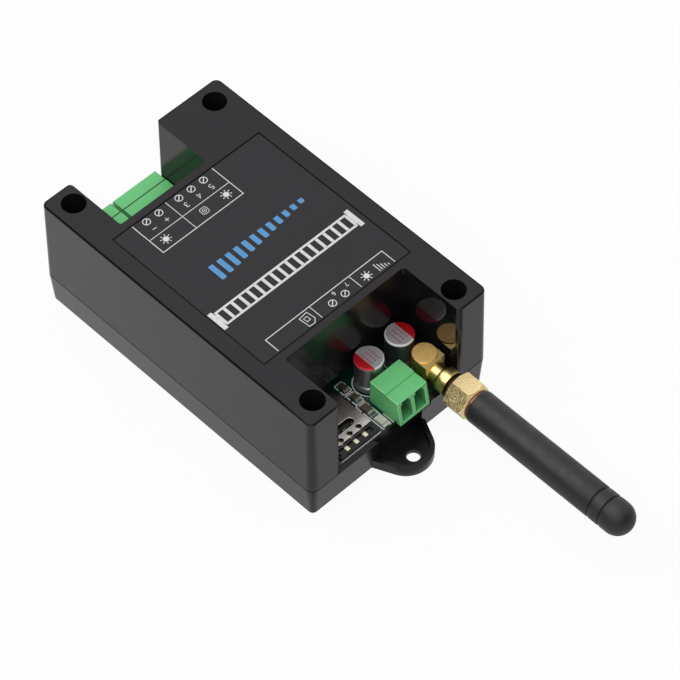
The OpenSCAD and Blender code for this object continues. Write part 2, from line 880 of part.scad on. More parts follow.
module jack_insulator() {
    color("white")
    difference() {
        union() {
            on_axis(jack_x) cylinder(r = jack_bore_r, h = thread_end - jack_x);
            translate([jack_x, jack_y, board_top]) cylinder(r = jack_bore_r, h = jack_axis + jack_bore_r);
        }
        on_axis(jack_x - contact_r - fit_gap) cylinder(r = contact_r + fit_gap, h = thread_end);
        translate([jack_x, jack_y, board_top - over])
            cylinder(r = contact_leg_r + fit_gap, h = jack_axis + over);
    }
}

module jack_contact() {
    color("gold")
    difference() {
        union() {
            on_axis(jack_x - contact_r)
                cylinder(r = contact_r, h = thread_end - jack_x + contact_r - part_gap);
            translate([jack_x, jack_y, board_z - pin_tail])
                cylinder(r = contact_leg_r, h = board_thickness + pin_tail + jack_axis);
        }
        on_axis(thread_end - pin_reach - part_gap * 4) cylinder(r = socket_r, h = pin_reach + part_gap * 4);
    }
}

module coupling_nut() {
    corner_r = nut_flats / sqrt(3);
    chamfer = corner_r - nut_flats / 2 + nut_bevel;
    back_rise = chamfer * nut_back_rise;
    face_rise = chamfer * nut_face_rise;
    color("goldenrod")
    difference() {
        intersection() {
            on_axis(nut_x) rotate([0, 0, nut_turn]) cylinder(r = corner_r, h = nut_length, $fn = 6);
            on_axis(nut_x)
                rotate_extrude()
                    polygon([[0, 0], [corner_r - chamfer, 0], [corner_r, back_rise],
                        [corner_r, nut_length - face_rise],
                        [corner_r - chamfer, nut_length], [0, nut_length]]);
        }
        on_axis(nut_x - over) cylinder(r = nut_bore_r, h = nut_shoulder - nut_x + over);
        on_axis(nut_x) cylinder(r = neck_r + fit_gap, h = nut_length + over);
    }
}

module antenna_ferrule() {
    color("gold")
    difference() {
        union() {
            on_axis(flange_x) cylinder(r = flange_r, h = flange_h);
            on_axis(flange_x) cylinder(r = neck_r, h = neck_end - flange_x);
        }
        on_axis(flange_x - over) cylinder(r = bush_r + fit_gap, h = neck_end - flange_x + 2 * over);
    }
}

module plug_insulator() {
    color("white")
    difference() {
        on_axis(flange_x) cylinder(r = bush_r, h = neck_end - flange_x);
        on_axis(flange_x - over) cylinder(r = plug_pin_r + fit_gap, h = neck_end - flange_x + 2 * over);
    }
}

module plug_pin() {
    color("gold")
    on_axis(thread_end - pin_reach) cylinder(r = plug_pin_r, h = neck_end + 0.4 - thread_end + pin_reach);
}

module antenna_ring() {
    color("peru")
    difference() {
        on_axis(ring_x) cylinder(d = ring_d, h = ring_h);
        on_axis(ring_x - over) cylinder(r = neck_r + fit_gap, h = ring_h + 2 * over);
    }
}

module antenna_sleeve() {
    dome = sleeve_r * 0.7;
    color("black")
    on_axis(sleeve_x)
        difference() {
            rotate_extrude()
                difference() {
                    union() {
                        polygon([[0, 0], [sleeve_r - sleeve_bevel * 0.7, 0], [sleeve_r, sleeve_bevel],
                            [sleeve_r, sleeve_length - dome], [0, sleeve_length - dome]]);
                        square([sleeve_r - dome, sleeve_length]);
                        intersection() {
                            translate([sleeve_r - dome, sleeve_length - dome]) circle(r = dome);
                            square([sleeve_r, sleeve_length]);
                        }
                    }
                    for (g = groove_places)
                        polygon([[sleeve_r + groove_depth, g - 2 * groove_half],
                            [sleeve_r - groove_depth, g - groove_half / 2],
                            [sleeve_r - groove_depth, g + groove_half / 2],
                            [sleeve_r + groove_depth, g + 2 * groove_half]]);
                }
            translate([0, 0, -over]) cylinder(r = neck_r + fit_gap, h = neck_length + over + part_gap);
            translate([0, 0, neck_length])
                cylinder(r = coil_space_r, h = coil_length + 2 * coil_x - 2 * neck_end);
        }
}

// A round wire wound along Z
module winding(r, wire, turns, length) {
    count = turns * coil_steps;
    points = [for (i = [0 : count]) for (k = [0 : coil_sides - 1])
        let (a = 360 * i / coil_steps, b = 360 * k / coil_sides)
            [(r + wire * cos(b)) * cos(a), (r + wire * cos(b)) * sin(a), length * i / count + wire * sin(b)]];
    walls = [for (i = [0 : count - 1]) for (k = [0 : coil_sides - 1])
        let (n = (k + 1) % coil_sides)
            [i * coil_sides + k, (i + 1) * coil_sides + k, (i + 1) * coil_sides + n, i * coil_sides + n]];
    ends = [[for (k = [0 : coil_sides - 1]) k],
        [for (k = [coil_sides - 1 : -1 : 0]) count * coil_sides + k]];
    polyhedron(points = points, faces = concat(walls, ends));
}

module antenna_coil() {
    color("orange") on_axis(coil_x) winding(coil_d / 2, coil_wire_r, coil_turns, coil_length);
}

// Places children at the foot of the card socket: X from the back of the tray, Y from its middle
module socket_place() {
    translate([0, socket_y, board_top]) children();
}

module card_tray() {
    half = socket_width / 2;
    color("black")
    socket_place() {
        difference() {
            union() {
                span([tray_x, -half, 0], [tray_end, half, tray_floor]);
                for (s = [-1, 1]) {
                    translate([hinge_x - lug_half, s * (half - lug_w / 2) - lug_w / 2, 0])
                        cube([2 * lug_half, lug_w, hinge_z + knuckle_r]);
                    translate([skirt_x, s * (guide_y + guide_w / 2) - guide_w / 2, 0])
                        cube([tray_end - skirt_x, guide_w, cover_height - sheet - part_gap]);
                }
                span([tray_end - tray_wall, -half, 0], [tray_end, half, cover_height - sheet - part_gap]);
                span([cover_end + bar_start, -guide_y - guide_w, tray_floor + contact_sheet + bar_start],
                    [cover_end + bar_start + bar_width, guide_y + guide_w, cover_height - sheet - part_gap]);
            }
            translate([hinge_x, half + over, hinge_z])
                rotate([90, 0, 0])
                    cylinder(r = hinge_r + fit_gap, h = socket_width + 2 * over);
        }
    }
}

module card_contacts() {
    foot = cover_end + contact_foot;
    t = contact_sheet;
    crest = cover_height - sheet - part_gap - tray_floor;
    bend = foot - 5 * t;
    top_x = bend - contact_ramp - contact_tip;
    color("gold")
    socket_place()
        for (i = [-1, 0, 1])
            for (row = [0, 1])
                translate([-row * contact_row, i * contact_pitch + contact_w / 2, tray_floor])
                    rotate([90, 0, 0])
                        linear_extrude(height = contact_w)
                            polygon([[top_x - contact_tip, crest - t], [top_x, crest],
                                [top_x + contact_tip, crest - t], [bend, t],
                                [foot + contact_tail, t], [foot + contact_tail, 0], [bend - t, 0],
                                [top_x + contact_tip - t, crest - 2.4 * t], [top_x - t, crest - 2 * t]]);
}

module card_cover() {
    plate_z = cover_height - sheet;
    neck = knuckle_y;
    color("lightsteelblue")
    socket_place()
        union() {
            difference() {
                union() {
                    span([hinge_x - knuckle_r, -neck, plate_z], [skirt_x, neck, cover_height]);
                    span([skirt_x, -cover_half, plate_z], [cover_end, cover_half, cover_height]);
                }
                for (i = [-1, 0, 1])
                    translate([cover_hole_x, i * contact_pitch, 0])
                        cylinder(r = cover_hole_r, h = over + cover_height);
                for (s = [-1, 1])
                    translate([cover_slot_x, s * cover_slot_half, 0])
                        cylinder(r = cover_slot_r, h = over + cover_height);
                translate([cover_slot_x - cover_slot_r, -cover_slot_half, 0])
                    cube([2 * cover_slot_r, 2 * cover_slot_half, over + cover_height]);
            }
            for (s = [-1, 1]) {
                translate([skirt_x, s * (cover_half - sheet / 2) - sheet / 2, skirt_z])
                    cube([cover_end - skirt_x, sheet, cover_height - skirt_z]);
                translate([hinge_x, s * (neck - knuckle_w / 2) + knuckle_w / 2, hinge_z])
                    rotate([90, 0, 0])
                        cylinder(r = knuckle_r, h = knuckle_w);
                translate([hinge_x, s * (neck + lug_w / 2 - part_gap / 2) + lug_w / 2, hinge_z])
                    rotate([90, 0, 0])
                        cylinder(r = hinge_r, h = lug_w);
            }
        }
}

module reset_switch() {
    color("silver")
    translate([reset_x, reset_y, board_top])
        difference() {
            slab([switch_side, switch_side, switch_height]);
            translate([0, 0, switch_cavity_z])
                cylinder(r = button_flange_r + fit_gap, h = switch_height - switch_cavity_z - switch_top);
            translate([0, 0, switch_cavity_z]) cylinder(r = button_r + fit_gap, h = switch_height);
        }
}

module reset_button() {
    top = switch_height - switch_top - fit_gap;
    color("black")
    translate([reset_x, reset_y, board_top]) {
        translate([0, 0, top - button_flange]) cylinder(r = button_flange_r, h = button_flange);
        translate([0, 0, top - button_flange])
            cylinder(r = button_r, h = switch_height + button_rise - top + button_flange);
    }
}

// A surface-mounted lamp: a foot plate with a smaller lens block on it
module lamp() {
    slab([lamp_size[0], lamp_size[1], lamp_size[2] * 0.4]);
    slab([lamp_size[0] * 0.6, lamp_size[1], lamp_size[2]]);
}

module run_lamp() {
    color("lightgreen") translate([reset_x, run_y, board_top]) lamp();
}

module relay_lamp() {
    color("lightyellow") translate([reset_x, relay_lamp_y, board_top]) lamp();
}

module signal_lamp() {
    color("lightyellow") translate([lamp_x, row_y, board_top]) lamp();
}

module relay_case() {
    color("royalblue")
    translate(relay_at)
        difference() {
            slab(relay_size);
            translate([0, 0, -over])
                slab([relay_size[0] - 2 * relay_wall, relay_size[1] - 2 * relay_wall,
                    relay_size[2] - relay_wall + over]);
        }
}

module relay_base() {
    color("navy")
    translate(relay_at)
        difference() {
            slab([relay_size[0] - 2 * relay_wall - 2 * fit_gap, relay_size[1] - 2 * relay_wall - 2 * fit_gap,
                relay_base_h]);
            for (p = relay_pin_spots)
                translate([p[0], p[1], -over])
                    cylinder(r = relay_pin_r + fit_gap, h = relay_base_h + 2 * over);
        }
}

module relay_pins() {
    color("silver")
    for (p = relay_pin_spots)
        translate(relay_at + [p[0], p[1], -board_thickness - pin_tail])
            cylinder(r = relay_pin_r, h = board_thickness + pin_tail + 2 * relay_base_h);
}

module modem_board() {
    color("darkgreen") translate(modem_at) slab([modem_side, modem_side, modem_board_h]);
}

module modem_shield() {
    t = sheet * 1.5;
    color("silver")
    translate(modem_at + [0, 0, modem_board_h])
        difference() {
            slab([shield_side, shield_side, shield_h]);
            translate([0, 0, -over]) slab([shield_side - 2 * t, shield_side - 2 * t, shield_h - t + over]);
        }
}

module controller_chip() {
    color("black")
    translate(chip_at) {
        translate([0, 0, sheet / 2]) slab([chip_side, chip_side, chip_h]);
        for (i = [0 : chip_leads - 1])
            for (turn = [0, 90])
                rotate([0, 0, turn])
                    translate([0, (i - (chip_leads - 1) / 2) * chip_lead_pitch, 0])
                        slab([chip_side + 2 * chip_foot, chip_lead_w, sheet]);
    }
}

module regulator_chip() {
    color("black")
    translate(regulator_at) {
        translate([0, 0, sheet / 2]) slab(regulator_size);
        for (i = [0 : regulator_leads - 1])
            translate([(i - (regulator_leads - 1) / 2) * regulator_pitch, 0, 0])
                slab([chip_lead_w * 1.4, regulator_size[1] + 2, sheet]);
    }
}

module power_inductor() {
    color("gray")
    translate(inductor_at) plate(inductor_side, inductor_side, inductor_h, inductor_side / 7);
}

module input_diode() {
    color("black")
    translate(diode_at) {
        slab(diode_size);
        for (s = [-1, 1])
            translate([s * diode_size[0] / 2, 0, 0]) slab(diode_tab);
    }
}

module chip_parts() {
    color("tan") {
        translate([tray_x + 1, row_far_y, board_top]) slab(small_chip);
        translate([tray_x + 4.5, row_far_y, board_top]) slab(small_chip);
        translate([row_x, row_y, board_top]) slab(large_chip);
        translate([chip_at[0] - chip_side, chip_at[1] - 5.6, board_top]) slab(small_chip);
        translate([chip_at[0] + chip_side, chip_at[1] + 3, board_top]) slab(small_chip);
        translate([inductor_at[0] + inductor_side, inductor_at[1] + 4, board_top]) slab(large_chip);
    }
}

base_shell();
top_cover();
label_plate();
lid_screws();
main_board();
board_screws();
power_header();
power_header_pins();
relay_header();
relay_header_pins();
switch_header();
switch_header_pins();
capacitor_cans();
capacitor_seals();
capacitor_leads();
jack_body();
jack_cap();
jack_insulator();
jack_contact();
coupling_nut();
antenna_ferrule();
plug_insulator();
plug_pin();
antenna_ring();
antenna_sleeve();
antenna_coil();
card_tray();
card_contacts();
card_cover();
reset_switch();
reset_button();
run_lamp();
relay_lamp();
signal_lamp();
relay_case();
relay_base();
relay_pins();
modem_board();
modem_shield();
controller_chip();
regulator_chip();
power_inductor();
input_diode();
chip_parts();
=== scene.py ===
"""Looks of the gate and garage door controller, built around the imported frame."""
import math

import bmesh
import bpy
from mathutils import Matrix, Vector


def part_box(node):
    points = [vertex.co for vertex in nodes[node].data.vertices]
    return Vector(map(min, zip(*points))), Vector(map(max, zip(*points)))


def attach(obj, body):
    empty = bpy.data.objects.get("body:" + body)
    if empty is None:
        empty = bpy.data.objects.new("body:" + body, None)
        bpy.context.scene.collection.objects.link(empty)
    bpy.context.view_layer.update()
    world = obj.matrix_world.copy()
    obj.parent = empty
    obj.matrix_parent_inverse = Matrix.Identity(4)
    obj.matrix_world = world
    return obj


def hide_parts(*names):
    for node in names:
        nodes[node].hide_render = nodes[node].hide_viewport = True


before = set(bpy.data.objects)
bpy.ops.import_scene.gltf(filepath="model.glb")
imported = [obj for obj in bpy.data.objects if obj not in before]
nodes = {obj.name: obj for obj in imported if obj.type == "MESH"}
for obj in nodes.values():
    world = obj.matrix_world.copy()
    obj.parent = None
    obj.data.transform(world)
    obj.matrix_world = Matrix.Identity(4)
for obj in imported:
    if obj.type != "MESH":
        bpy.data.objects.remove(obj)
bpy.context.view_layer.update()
MM = 0.001
BODY = "housing"


def in_mm(box):
    return [[v / MM for v in corner] for corner in box]


def centre(box):
    """The middle of a box, in millimetres."""
    return [(a + b) / 2 / MM for a, b in zip(*box)]


# Node trees

NOISE_RANGE = (0.3, 0.7)


class Nodes:
    """Short calls for filling an emptied node tree."""

    def __init__(self, tree):
        self.tree = tree
        tree.nodes.clear()

    def add(self, kind):
        return self.tree.nodes.new(kind)

    def link(self, a, b):
        self.tree.links.new(a, b)

    def put(self, value, socket):
        """Links a value from another node, or sets a constant."""
        if isinstance(value, bpy.types.NodeSocket):
            self.link(value, socket)
        else:
            socket.default_value = value

    def math(self, op, a, b=0.0):
        n = self.add("ShaderNodeMath")
        n.operation = op
        self.put(a, n.inputs[0])
        self.put(b, n.inputs[1])
        return n.outputs[0]

    def span(self, value, lo, hi, to_lo, to_hi):
        """The value carried from one range to another and held at its ends."""
        n = self.add("ShaderNodeMapRange")
        keys = ("Value", "From Min", "From Max", "To Min", "To Max")
        for key, v in zip(keys, (value, lo, hi, to_lo, to_hi)):
            self.put(v, n.inputs[key])
        return n.outputs["Result"]

    def pick(self, mask, a, b):
        """a where the mask is zero, b where it is one."""
        return self.span(mask, 0.0, 1.0, a, b)

    def split(self, vector):
        n = self.add("ShaderNodeSeparateXYZ")
        self.link(vector, n.inputs[0])
        return n.outputs[0], n.outputs[1], n.outputs[2]


class Shader(Nodes):
    """A Principled material with procedural parts in object coordinates."""

    def __init__(self, name, rough=0.5, metal=0.0, **sockets):
        self.mat = bpy.data.materials.new(name)
        self.mat.use_nodes = True
        super().__init__(self.mat.node_tree)
        self.bsdf = self.add("ShaderNodeBsdfPrincipled")
        self.link(self.bsdf.outputs["BSDF"], self.add("ShaderNodeOutputMaterial").inputs["Surface"])
        self.bsdf.inputs["Roughness"].default_value = rough
        self.bsdf.inputs["Metallic"].default_value = metal
        for key, value in sockets.items():
            self.bsdf.inputs[key.replace("_", " ")].default_value = value
        self.source = self.add("ShaderNodeTexCoord")
        self.coord = self.source.outputs["Object"]

    def axes(self):
        return self.split(self.coord)

    def normal(self):
        return self.split(self.source.outputs["Normal"])

    def noise(self, scale, detail=3.0, rough=0.5, stretch=None):
        n = self.add("ShaderNodeTexNoise")
        n.inputs["Scale"].default_value = scale
        n.inputs["Detail"].default_value = detail
        n.inputs["Roughness"].default_value = rough
        place = self.coord
        if stretch:
            m = self.add("ShaderNodeMapping")
            m.inputs["Scale"].default_value = stretch
            self.link(place, m.inputs["Vector"])
            place = m.outputs["Vector"]
        self.link(place, n.inputs["Vector"])
        return n.outputs["Fac"]

    def vary(self, lo, hi, *noise):
        """A number that wanders between two by noise."""
        return self.span(self.noise(*noise), *NOISE_RANGE, lo, hi)

    def tint(self, dark, light, *noise):
        """A colour that wanders between two by noise."""
        return self.ramp(self.noise(*noise), *zip(NOISE_RANGE, (dark, light)))

    def ramp(self, fac, *stops):
        n = self.add("ShaderNodeValToRGB")
        while len(n.color_ramp.elements) < len(stops):
            n.color_ramp.elements.new(0.5)
        for e, (pos, col) in zip(n.color_ramp.elements, stops):
            e.position = pos
            e.color = (*col, 1.0)
        self.link(fac, n.inputs["Fac"])
        return n.outputs["Color"]

    def mix(self, fac, a, b):
        n = self.add("ShaderNodeMix")
        n.data_type = "RGBA"
        self.put(fac, n.inputs[0])
        self.put((*a, 1.0) if isinstance(a, tuple) else a, n.inputs[6])
        self.put((*b, 1.0) if isinstance(b, tuple) else b, n.inputs[7])
        return n.outputs[2]

    def hollow(self, reach):
        """One on open faces, falling towards zero deep inside the object's own recesses."""
        n = self.add("ShaderNodeAmbientOcclusion")
        n.samples = 8
        n.only_local = True
        n.inputs["Distance"].default_value = reach
        return self.span(n.outputs["AO"], 0.25, 0.85, 0.0, 1.0)

    def both(self, a, b):
        return self.math("MULTIPLY", a, b)

    def above(self, value, limit):
        return self.math("GREATER_THAN", value, limit)

    def below(self, value, limit):
        return self.math("LESS_THAN", value, limit)

    def between(self, value, lo, hi):
        return self.both(self.above(value, lo), self.below(value, hi))

    def bump(self, height, strength, distance):
        n = self.add("ShaderNodeBump")
        n.inputs["Strength"].default_value = strength
        n.inputs["Distance"].default_value = distance
        self.link(height, n.inputs["Height"])
        self.link(n.outputs["Normal"], self.bsdf.inputs["Normal"])

    def color(self, value):
        self.put(value, self.bsdf.inputs["Base Color"])

    def rough(self, value):
        self.put(value, self.bsdf.inputs["Roughness"])


def tone(col, k):
    return tuple(min(1.0, c * k) for c in col)


# Materials

PLATING = (160.0, 4.0, 0.65)
RUBBED = (600.0, 4.0, 0.7)
FINE_BUMP = 0.02 * MM
GRAIN_BUMP = 0.03 * MM


def moulded(name, col, rough, grain=0.08, finish=None, **sockets):
    """Moulded plastic: cloudy tone, fine grain and a few scuffs; finish may change tone and gloss."""
    s = Shader(name, rough, **sockets)
    scuff = s.noise(420.0, 5.0, 0.75, stretch=(1.0, 0.22, 1.0))
    base = s.tint(tone(col, 0.9), tone(col, 1.1), 55.0, 3.0, 0.6)
    skin = s.mix(s.span(scuff, 0.66, 0.78, 0.0, 0.5), base, tone(col, 1.5))
    level = s.vary(rough - 0.03, rough + 0.04, 900.0, 4.0)
    if finish:
        skin, level = finish(s, skin, level)
    s.color(skin)
    s.rough(level)
    s.bump(s.noise(7500.0, 2.0), grain, GRAIN_BUMP)
    return s.mat


def metal(name, col, rough, worn=0.8, grain=0.05, stretch=None):
    """Plated metal: uneven plating tone, fine drawing marks, fingerprint-like gloss changes."""
    s = Shader(name, rough, 1.0)
    s.color(s.tint(tone(col, worn), col, *PLATING))
    s.rough(s.vary(rough * 0.7, rough * 1.4, *RUBBED))
    s.bump(s.noise(5200.0, 2.0, 0.5, stretch=stretch), grain, FINE_BUMP)
    return s.mat


# Limits of the plug headers, in metres: their upper faces, the joint of one and the gap between two
HEADER_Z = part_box("switch_header")[1][2] - 0.35 * MM
HEADER_JOINT = [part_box("switch_header")[1][0] - d * MM for d in (5.2, 3.6)]
HEADER_GAP = (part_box("power_header")[1][1] - 0.3 * MM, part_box("relay_header")[0][1] + 0.3 * MM)
HEADER_GREEN = (0.158, 0.63, 0.222)
# Light green painted on the switch header's edges as a painted highlight
EDGE_HIGHLIGHT_GREEN = (0.36, 0.92, 0.44)


def header_finish(s, skin, level):
    """Plug headers: painted shade deep in the openings, painted highlights on the edges of the switch header,
    painted shade on the edges along the gap between the other two.
    """
    x, y, z = s.axes()
    upper = s.above(z, HEADER_Z)
    nx, ny, nz = [s.math("ABSOLUTE", n) for n in s.normal()]
    square = s.math("MAXIMUM", nx, s.math("MAXIMUM", ny, nz))
    joint = s.both(s.between(x, *HEADER_JOINT), upper)
    edge = s.math("MAXIMUM", s.math("SUBTRACT", s.below(square, 0.95), joint), 0.0)
    # painted highlight: the bevelled edges of the switch header turn light green
    painted_edge_tone = s.mix(s.above(x, 0.0), skin, EDGE_HIGHLIGHT_GREEN)
    # painted shade: the edges along the gap between the power and relay headers turn near black
    painted_edge_tone = s.mix(s.between(y, *HEADER_GAP), painted_edge_tone, tone(HEADER_GREEN, 0.1))
    skin = s.mix(edge, skin, painted_edge_tone)
    # painted shade: the green turns darker inside the openings, by an occlusion mask
    open_face = s.math("MAXIMUM", s.hollow(4.0 * MM), upper)
    return s.mix(open_face, tone(HEADER_GREEN, 0.27), skin), level


# The two notches of the cover, in metres: where they begin along X and how far they reach along Y
AERIAL_NOTCH = (23.9 * MM, -16.85 * MM, 16.85 * MM)
POWER_NOTCH = (-24.25 * MM, -16.85 * MM, 7.45 * MM)
# Near black painted on the cover's rounded edges as a painted dark reflection
EDGE_REFLECTION_BLACK = (0.0034, 0.0032, 0.0037)
PALE = (1.0, 0.935, 0.985, 1.0)
GLOSS = {"Specular_Tint": PALE, "Specular_IOR_Level": 0.34}


def cover_finish(s, skin, level):
    """Cover: smoother walls inside the two notches, rounded edges painted near black as a painted dark
    reflection, fading at the aerial end.
    """
    x, y, _ = s.axes()
    nx, _, nz = s.normal()
    upright = s.below(s.math("ABSOLUTE", nz), 0.5)
    aerial = s.both(s.above(x, AERIAL_NOTCH[0]), s.between(y, *AERIAL_NOTCH[1:]))
    power = s.both(s.below(x, POWER_NOTCH[0]), s.between(y, *POWER_NOTCH[1:]))
    far = s.both(aerial, s.above(nx, 0.7))
    for mask, gloss in ((power, 0.16), (aerial, 0.06), (far, 0.19)):
        level = s.pick(s.both(mask, upright), level, gloss)
    level = s.pick(s.above(nz, 0.8), level, 0.27)
    rounded = s.both(s.span(nz, 0.3, 0.4, 0.0, 1.0), s.span(nz, 0.97, 0.99, 1.0, 0.0))
    rounded = s.both(rounded, s.span(x, 30.0 * MM, 39.5 * MM, 1.0, 0.5))
    shine = s.pick(s.both(power, upright), GLOSS["Specular_IOR_Level"], 0.22)
    s.put(s.pick(rounded, shine, 0.03), s.bsdf.inputs["Specular IOR Level"])
    # painted reflection: the rounded edges are painted near black
    return s.mix(rounded, skin, EDGE_REFLECTION_BLACK), level


COVER = moulded("cover_plastic", (0.0084, 0.0079, 0.0091), 0.26, grain=0.012, finish=cover_finish, **GLOSS)
BASE = moulded("base_plastic", (0.0072, 0.0068, 0.0077), 0.24, grain=0.012, Specular_Tint=PALE,
               Specular_IOR_Level=0.30)
LABEL = moulded("label_film", (0.0085, 0.0083, 0.0096), 0.45, grain=0.04, **GLOSS)
BLACK = moulded("black_plastic", (0.006, 0.006, 0.0065), 0.34)
GREEN = moulded("green_plastic", HEADER_GREEN, 0.36, grain=0.05, finish=header_finish)
# Dark green of a flat strip that is painted shade in the headers' joint
JOINT_SHADE_GREEN = moulded("green_joint_shade", (0.008, 0.045, 0.014), 0.5, grain=0.05)
RELAY = moulded("relay_plastic", (0.02, 0.07, 0.33), 0.3)
FERRITE = moulded("ferrite", (0.035, 0.035, 0.037), 0.6, grain=0.3)
PTFE = moulded("ptfe", (0.75, 0.75, 0.72), 0.45)
GOLD = metal("gold_plate", (0.90, 0.67, 0.27), 0.29, worn=0.88)
GOLD_SATIN = metal("gold_satin", (0.84, 0.56, 0.20), 0.46)
COPPER = metal("copper_plate", (0.34, 0.15, 0.08), 0.3)
COPPER_WIRE = metal("copper_wire", (0.72, 0.34, 0.18), 0.28)
STEEL = metal("zinc_steel", (0.42, 0.42, 0.42), 0.34, stretch=(1.0, 1.0, 0.1))
TIN = metal("tin_plate", (0.68, 0.68, 0.66), 0.3)
NICKEL = metal("nickel_sheet", (0.52, 0.49, 0.47), 0.27, stretch=(0.12, 1.0, 1.0), grain=0.08)
CAN = metal("drawn_aluminium", (0.33, 0.33, 0.34), 0.40, stretch=(1.0, 1.0, 0.06), grain=0.1)


def gold_nut():
    """Milled nut: satin plating, polished on its upper flats and pitted on the others."""
    s = Shader("gold_nut", 0.5, 1.0)
    plate = s.tint((0.97, 0.74, 0.39), (1.0, 0.81, 0.44), *PLATING)
    nx, _, nz = s.normal()
    pits = s.span(s.noise(3600.0, 2.0, 0.6), 0.42, 0.6, 0.85, 0.0)
    low = s.span(nz, 0.7, 0.85, 1.0, 0.0)
    face = s.span(s.math("ABSOLUTE", nx), 0.25, 0.4, 1.0, 0.0)
    s.color(s.mix(s.both(s.both(pits, low), face), plate, (0.13, 0.095, 0.035)))
    s.rough(s.vary(0.36, 0.5, 900.0, 4.0, 0.7))
    s.bump(s.noise(2800.0, 3.0, 0.6), 1.0, 0.2 * MM)
    return s.mat


# Start of the jack's thread along X and the two bands by its turned grooves that are painted dark as shade, in
# millimetres
THREAD_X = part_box("jack_body")[1][0] / MM - 3.493
JACK_GROOVE_SHADE = ((THREAD_X - 4.25, THREAD_X - 3.53), (THREAD_X - 1.3, THREAD_X + 0.1))


def jack_gold():
    """Gold plating, painted dark as shade in two bands by the turned grooves of the jack."""
    s = Shader("jack_gold", 0.3, 1.0)
    plate = s.tint((0.79, 0.59, 0.24), (0.90, 0.67, 0.27), *PLATING)
    x = s.axes()[0]
    first, second = [s.between(x, lo * MM, hi * MM) for lo, hi in JACK_GROOVE_SHADE]
    dark = s.math("MAXIMUM", first, second)
    # painted shade: the two groove bands are dark brown
    s.color(s.mix(dark, plate, (0.05, 0.032, 0.012)))
    s.rough(s.pick(dark, s.vary(0.24, 0.34, 240.0, 3.0, 0.6), 0.6))
    s.bump(s.noise(2600.0, 2.0), 0.02, FINE_BUMP)
    return s.mat


def contact_plate():
    """Spring contacts: painted dark as shade where they run under the cover, bright on the soldered tails."""
    s = Shader("contact_plate", 0.4, 1.0)
    along = s.math("ADD", s.axes()[0], s.vary(-0.1 * MM, 0.1 * MM, 500.0, 3.0))
    tail = s.span(along, 35.0 * MM, 35.6 * MM, 0.0, 1.0)
    # painted shade: the contacts are dark where they run under the cover
    s.color(s.ramp(tail, (0.0, (0.10, 0.075, 0.04)), (1.0, (0.90, 0.83, 0.66))))
    s.rough(s.vary(0.3, 0.5, *RUBBED))
    s.bump(s.noise(5200.0, 2.0), 0.05, FINE_BUMP)
    return s.mat


def card_sheet():
    """Rolled sheet, painted darker towards its hinge and lighter towards its free end, as a painted reflection
    and shade.
    """
    s = Shader("card_sheet", 0.3, 1.0)
    along = s.math("ADD", s.axes()[0], s.vary(-0.7 * MM, 0.7 * MM, 240.0, 3.0, 0.6))
    # painted reflection and shade: the ramp runs from dark at the hinge to light at the free end
    s.color(s.ramp(s.span(along, 26.0 * MM, 35.4 * MM, 0.0, 1.0),
                   (0.0, (0.10, 0.085, 0.08)), (0.45, (0.20, 0.18, 0.17)),
                   (0.75, (0.36, 0.33, 0.31)), (1.0, (0.72, 0.68, 0.65))))
    s.rough(s.vary(0.32, 0.46, 700.0, 3.0))
    s.bump(s.noise(5200.0, 2.0, 0.5, stretch=(0.12, 1.0, 1.0)), 0.05, FINE_BUMP)
    return s.mat


def rubber():
    """Sleeve rubber: dull, a little dusty."""
    s = Shader("sleeve_rubber", 0.52, Sheen_Weight=0.06, Sheen_Roughness=0.5)
    dust = s.noise(1800.0, 5.0, 0.75)
    base = s.tint((0.0058, 0.0057, 0.0068), (0.009, 0.0088, 0.0106), 70.0, 3.0)
    s.color(s.mix(s.span(dust, 0.6, 0.8, 0.0, 0.3), base, (0.035, 0.035, 0.037)))
    s.rough(s.vary(0.44, 0.6, 500.0, 4.0))
    s.bump(s.noise(5200.0, 3.0), 0.16, 0.04 * MM)
    return s.mat


def board():
    """Solder mask with copper tracks showing through as a paler green."""
    s = Shader("solder_mask", 0.22, Coat_Weight=0.35, Coat_Roughness=0.12)
    brick = s.add("ShaderNodeTexBrick")
    brick.inputs["Scale"].default_value = 260.0
    brick.inputs["Mortar Size"].default_value = 0.035
    brick.inputs["Color1"].default_value = (1, 1, 1, 1)
    brick.inputs["Color2"].default_value = (0.6, 0.6, 0.6, 1)
    brick.inputs["Mortar"].default_value = (0, 0, 0, 1)
    s.link(s.coord, brick.inputs["Vector"])
    field = s.mix(brick.outputs["Color"], (0.0012, 0.022, 0.018), (0.004, 0.05, 0.039))
    s.color(s.mix(s.span(s.noise(130.0, 2.0), 0.5, 0.56, 0.0, 1.0), field, (0.0025, 0.034, 0.027)))
    s.rough(s.vary(0.17, 0.3, 800.0, 3.0))
    s.bump(brick.outputs["Fac"], 0.12, GRAIN_BUMP)
    return s.mat


def lamp_resin(name, col):
    """Clear-coated resin of a small lamp."""
    s = Shader(name, 0.18, Coat_Weight=0.6)
    s.color(s.tint(tone(col, 0.8), col, 900.0, 3.0))
    s.rough(s.vary(0.12, 0.26, 1500.0, 2.0))
    return s.mat


def ceramic():
    """Bodies of the chip parts: dark brown, unevenly fired."""
    s = Shader("chip_ceramic", 0.4)
    s.color(s.ramp(s.noise(420.0, 2.0), (0.35, (0.035, 0.024, 0.016)), (0.65, (0.085, 0.058, 0.036))))
    s.rough(s.vary(0.3, 0.5, 1500.0, 3.0))
    s.bump(s.noise(4000.0, 2.0), 0.1, FINE_BUMP)
    return s.mat


